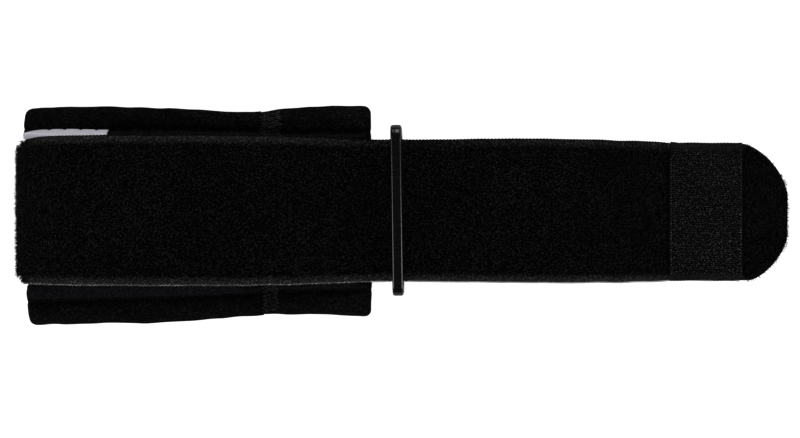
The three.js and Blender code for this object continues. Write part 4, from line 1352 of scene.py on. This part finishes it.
def build_ring():
    """The ring: a square section with round corners, carried round a rectangle with round
    corners, with a faint parting line outside and softly sunken faces."""
    half_y = (TAPE_WIDTH + RING_SIDE_PLAY + RING_BAR) / 2
    half_z = (SLOT_HEIGHT + RING_BAR) / 2
    corner = RING_CORNER - RING_BEVEL
    path = []
    for index, (sy, sz) in enumerate(((1, -1), (1, 1), (-1, 1), (-1, -1))):
        angle = np.radians(-90 + 90 * index + np.linspace(0, 90, 10))
        spoke = np.stack([np.cos(angle), np.sin(angle)], -1)
        centre = np.array([sy * (half_y - corner), sz * (half_z - corner)])
        path.append(np.hstack([centre + corner * spoke, spoke]))
    path = np.concatenate(path)
    closing = np.vstack([path, path[:1]])
    steps = np.linalg.norm(np.diff(closing[:, :2], axis=0), axis=1)
    gone = np.concatenate([[0], np.cumsum(steps)])
    at = np.unique(np.concatenate([gone, np.arange(0, gone[-1], 1.5)]))[:-1]
    y, z, ny, nz = (np.interp(at, gone, column) for column in closing.T)
    size = np.hypot(ny, nz)
    ny, nz = ny / size, nz / size
    outer, flat = RING_BAR / 2, RING_BAR / 2 - RING_BEVEL
    angle = np.radians(np.arange(0, 360, 15) + 7.5).reshape(4, -1)
    out = flat * np.sign(np.cos(angle)) + RING_BEVEL * np.cos(angle)
    side = flat * np.sign(np.sin(angle)) + RING_BEVEL * np.sin(angle)
    middles = ([(outer, -0.12), (outer + 0.05, 0), (outer, 0.12)], [(0, outer - 0.07)],
               [(-outer + 0.04, 0)], [(0, -outer + 0.07)])
    section = np.concatenate([
        np.vstack([middle, np.stack([out[k], side[k]], -1)]) for k, middle in enumerate(middles)])
    section = section * (1, 1.08)
    slim = 1 + ripples(at, 0, "ring", 61)[:, None]
    grown = section[:, 0] * slim
    points = np.stack([section[:, 1] * slim, y[:, None] + grown * ny[:, None],
                       z[:, None] + grown * nz[:, None]], -1)
    points[..., 2] += RING_BAR / 2 + SLOT_HEIGHT / 2
    c, s = math.cos(RING_LEAN), math.sin(RING_LEAN)
    x, z = points[..., 0] * c - points[..., 2] * s, points[..., 0] * s + points[..., 2] * c
    points = np.stack([x, points[..., 1], z + BAR_LEVEL], -1)
    piece("plastic_ring", points, skin(points[None], closed=True), [PLASTIC],
          PAD_TURN, replaces=["ring"])


# ---- Floor, light and camera ----

def build_stage():
    """A wide pale floor that shines a little, so that the picture's ground is white, soft lights
    from all round, two low ones that only show as gloss, and a pale surround that lights little."""
    mesh = bpy.data.meshes.new("floor")
    corners = ((-1, -1), (1, -1), (1, 1), (-1, 1))
    mesh.from_pydata([(x * FLOOR_REACH, y * FLOOR_REACH, -FLOOR_GAP * MM) for x, y in corners],
                     [], [(0, 1, 2, 3)])
    add_object("floor", mesh)
    finish, w, shader = new_finish("white floor")
    w.put(shader, {
        "Base Color": (0.4, 0.4, 0.4, 1), "Roughness": 0.9, "Specular IOR Level": 0.1,
        "Emission Color": (1, 1, 1, 1), "Emission Strength": w.lifted(*FLOOR_GLOW)})
    mesh.materials.append(finish)
    for name, (place_at, size, power) in LIGHTS.items():
        lamp = bpy.data.lights.new(name, "AREA")
        lamp.size, lamp.energy = size, power
        obj = add_object(name, lamp)
        obj.location = place_at
        obj.visible_glossy = name != "front light"
        obj.visible_diffuse = not name.endswith("gloss")
        toward = np.array(place_at) / np.linalg.norm(place_at)
        turn = math.atan2(toward[1], toward[0]) + math.pi / 2
        obj.rotation_euler = (math.acos(toward[2]), 0, turn)
    world = bpy.data.worlds.new("surround")
    world.use_nodes = True
    w = Wiring(world.node_tree)
    w.put(world.node_tree.nodes["Background"].inputs, {
        "Color": (1, 1, 1, 1), "Strength": w.lifted(*SKY_GLOW)})
    scene = bpy.context.scene
    scene.world = world
    scene.view_settings.view_transform = "Standard"
    scene.view_settings.look = "None"
    scene.view_settings.gamma = VIEW_GAMMA


def build_camera():
    """Straight above the strap, as the photograph is taken."""
    lens = bpy.data.cameras.new("camera")
    lens.sensor_width = CAMERA["sensor"]
    lens.lens = CAMERA["sensor"] / (CAMERA["width"] * CAMERA["pixel"])
    camera = add_object("camera", lens)
    camera.location = (np.array(CAMERA["eye"]) + SHIFT) * MM
    bpy.context.scene.camera = camera


build_strap()
build_edge_loops()
END = TAPE["at"][-1]
FOLD_AT = length_at(FOLD_FAR + FOLD_RADIUS, over=False)
RING_AT = length_at(0.0)
TAB_AT = length_at(TAB_START)
build_fibres("pile_fibres_under", 16, FOLD_AT, 0.7, 101)
build_fibres(
    "pile_fibres_fold", FOLD_AT, FOLD_AT + 20, 4.4, 105, reach=1.6, thick=1.3, shoulder=0.3)
build_fibres("pile_fibres_over", FOLD_AT + 18, RING_AT, 2.2, 102)
build_fibres("pile_fibres_tail", RING_AT, TAB_AT - 0.2, 2.1, 103)
build_fibres("pile_fibres_tip", END - TIP_LENGTH + 0.5, END, 3.8, 104, reach=1.45, thick=1.3)
build_tape_stitches()
build_pad("padded_panel", "pad")
build_pad("padded_panel_end", "pad_end")
build_layers()
build_channel_stitches()
build_cross_seam()
build_hook_tab()
build_hooks()
build_tab_stitches()
build_ring()
build_stage()
build_camera()
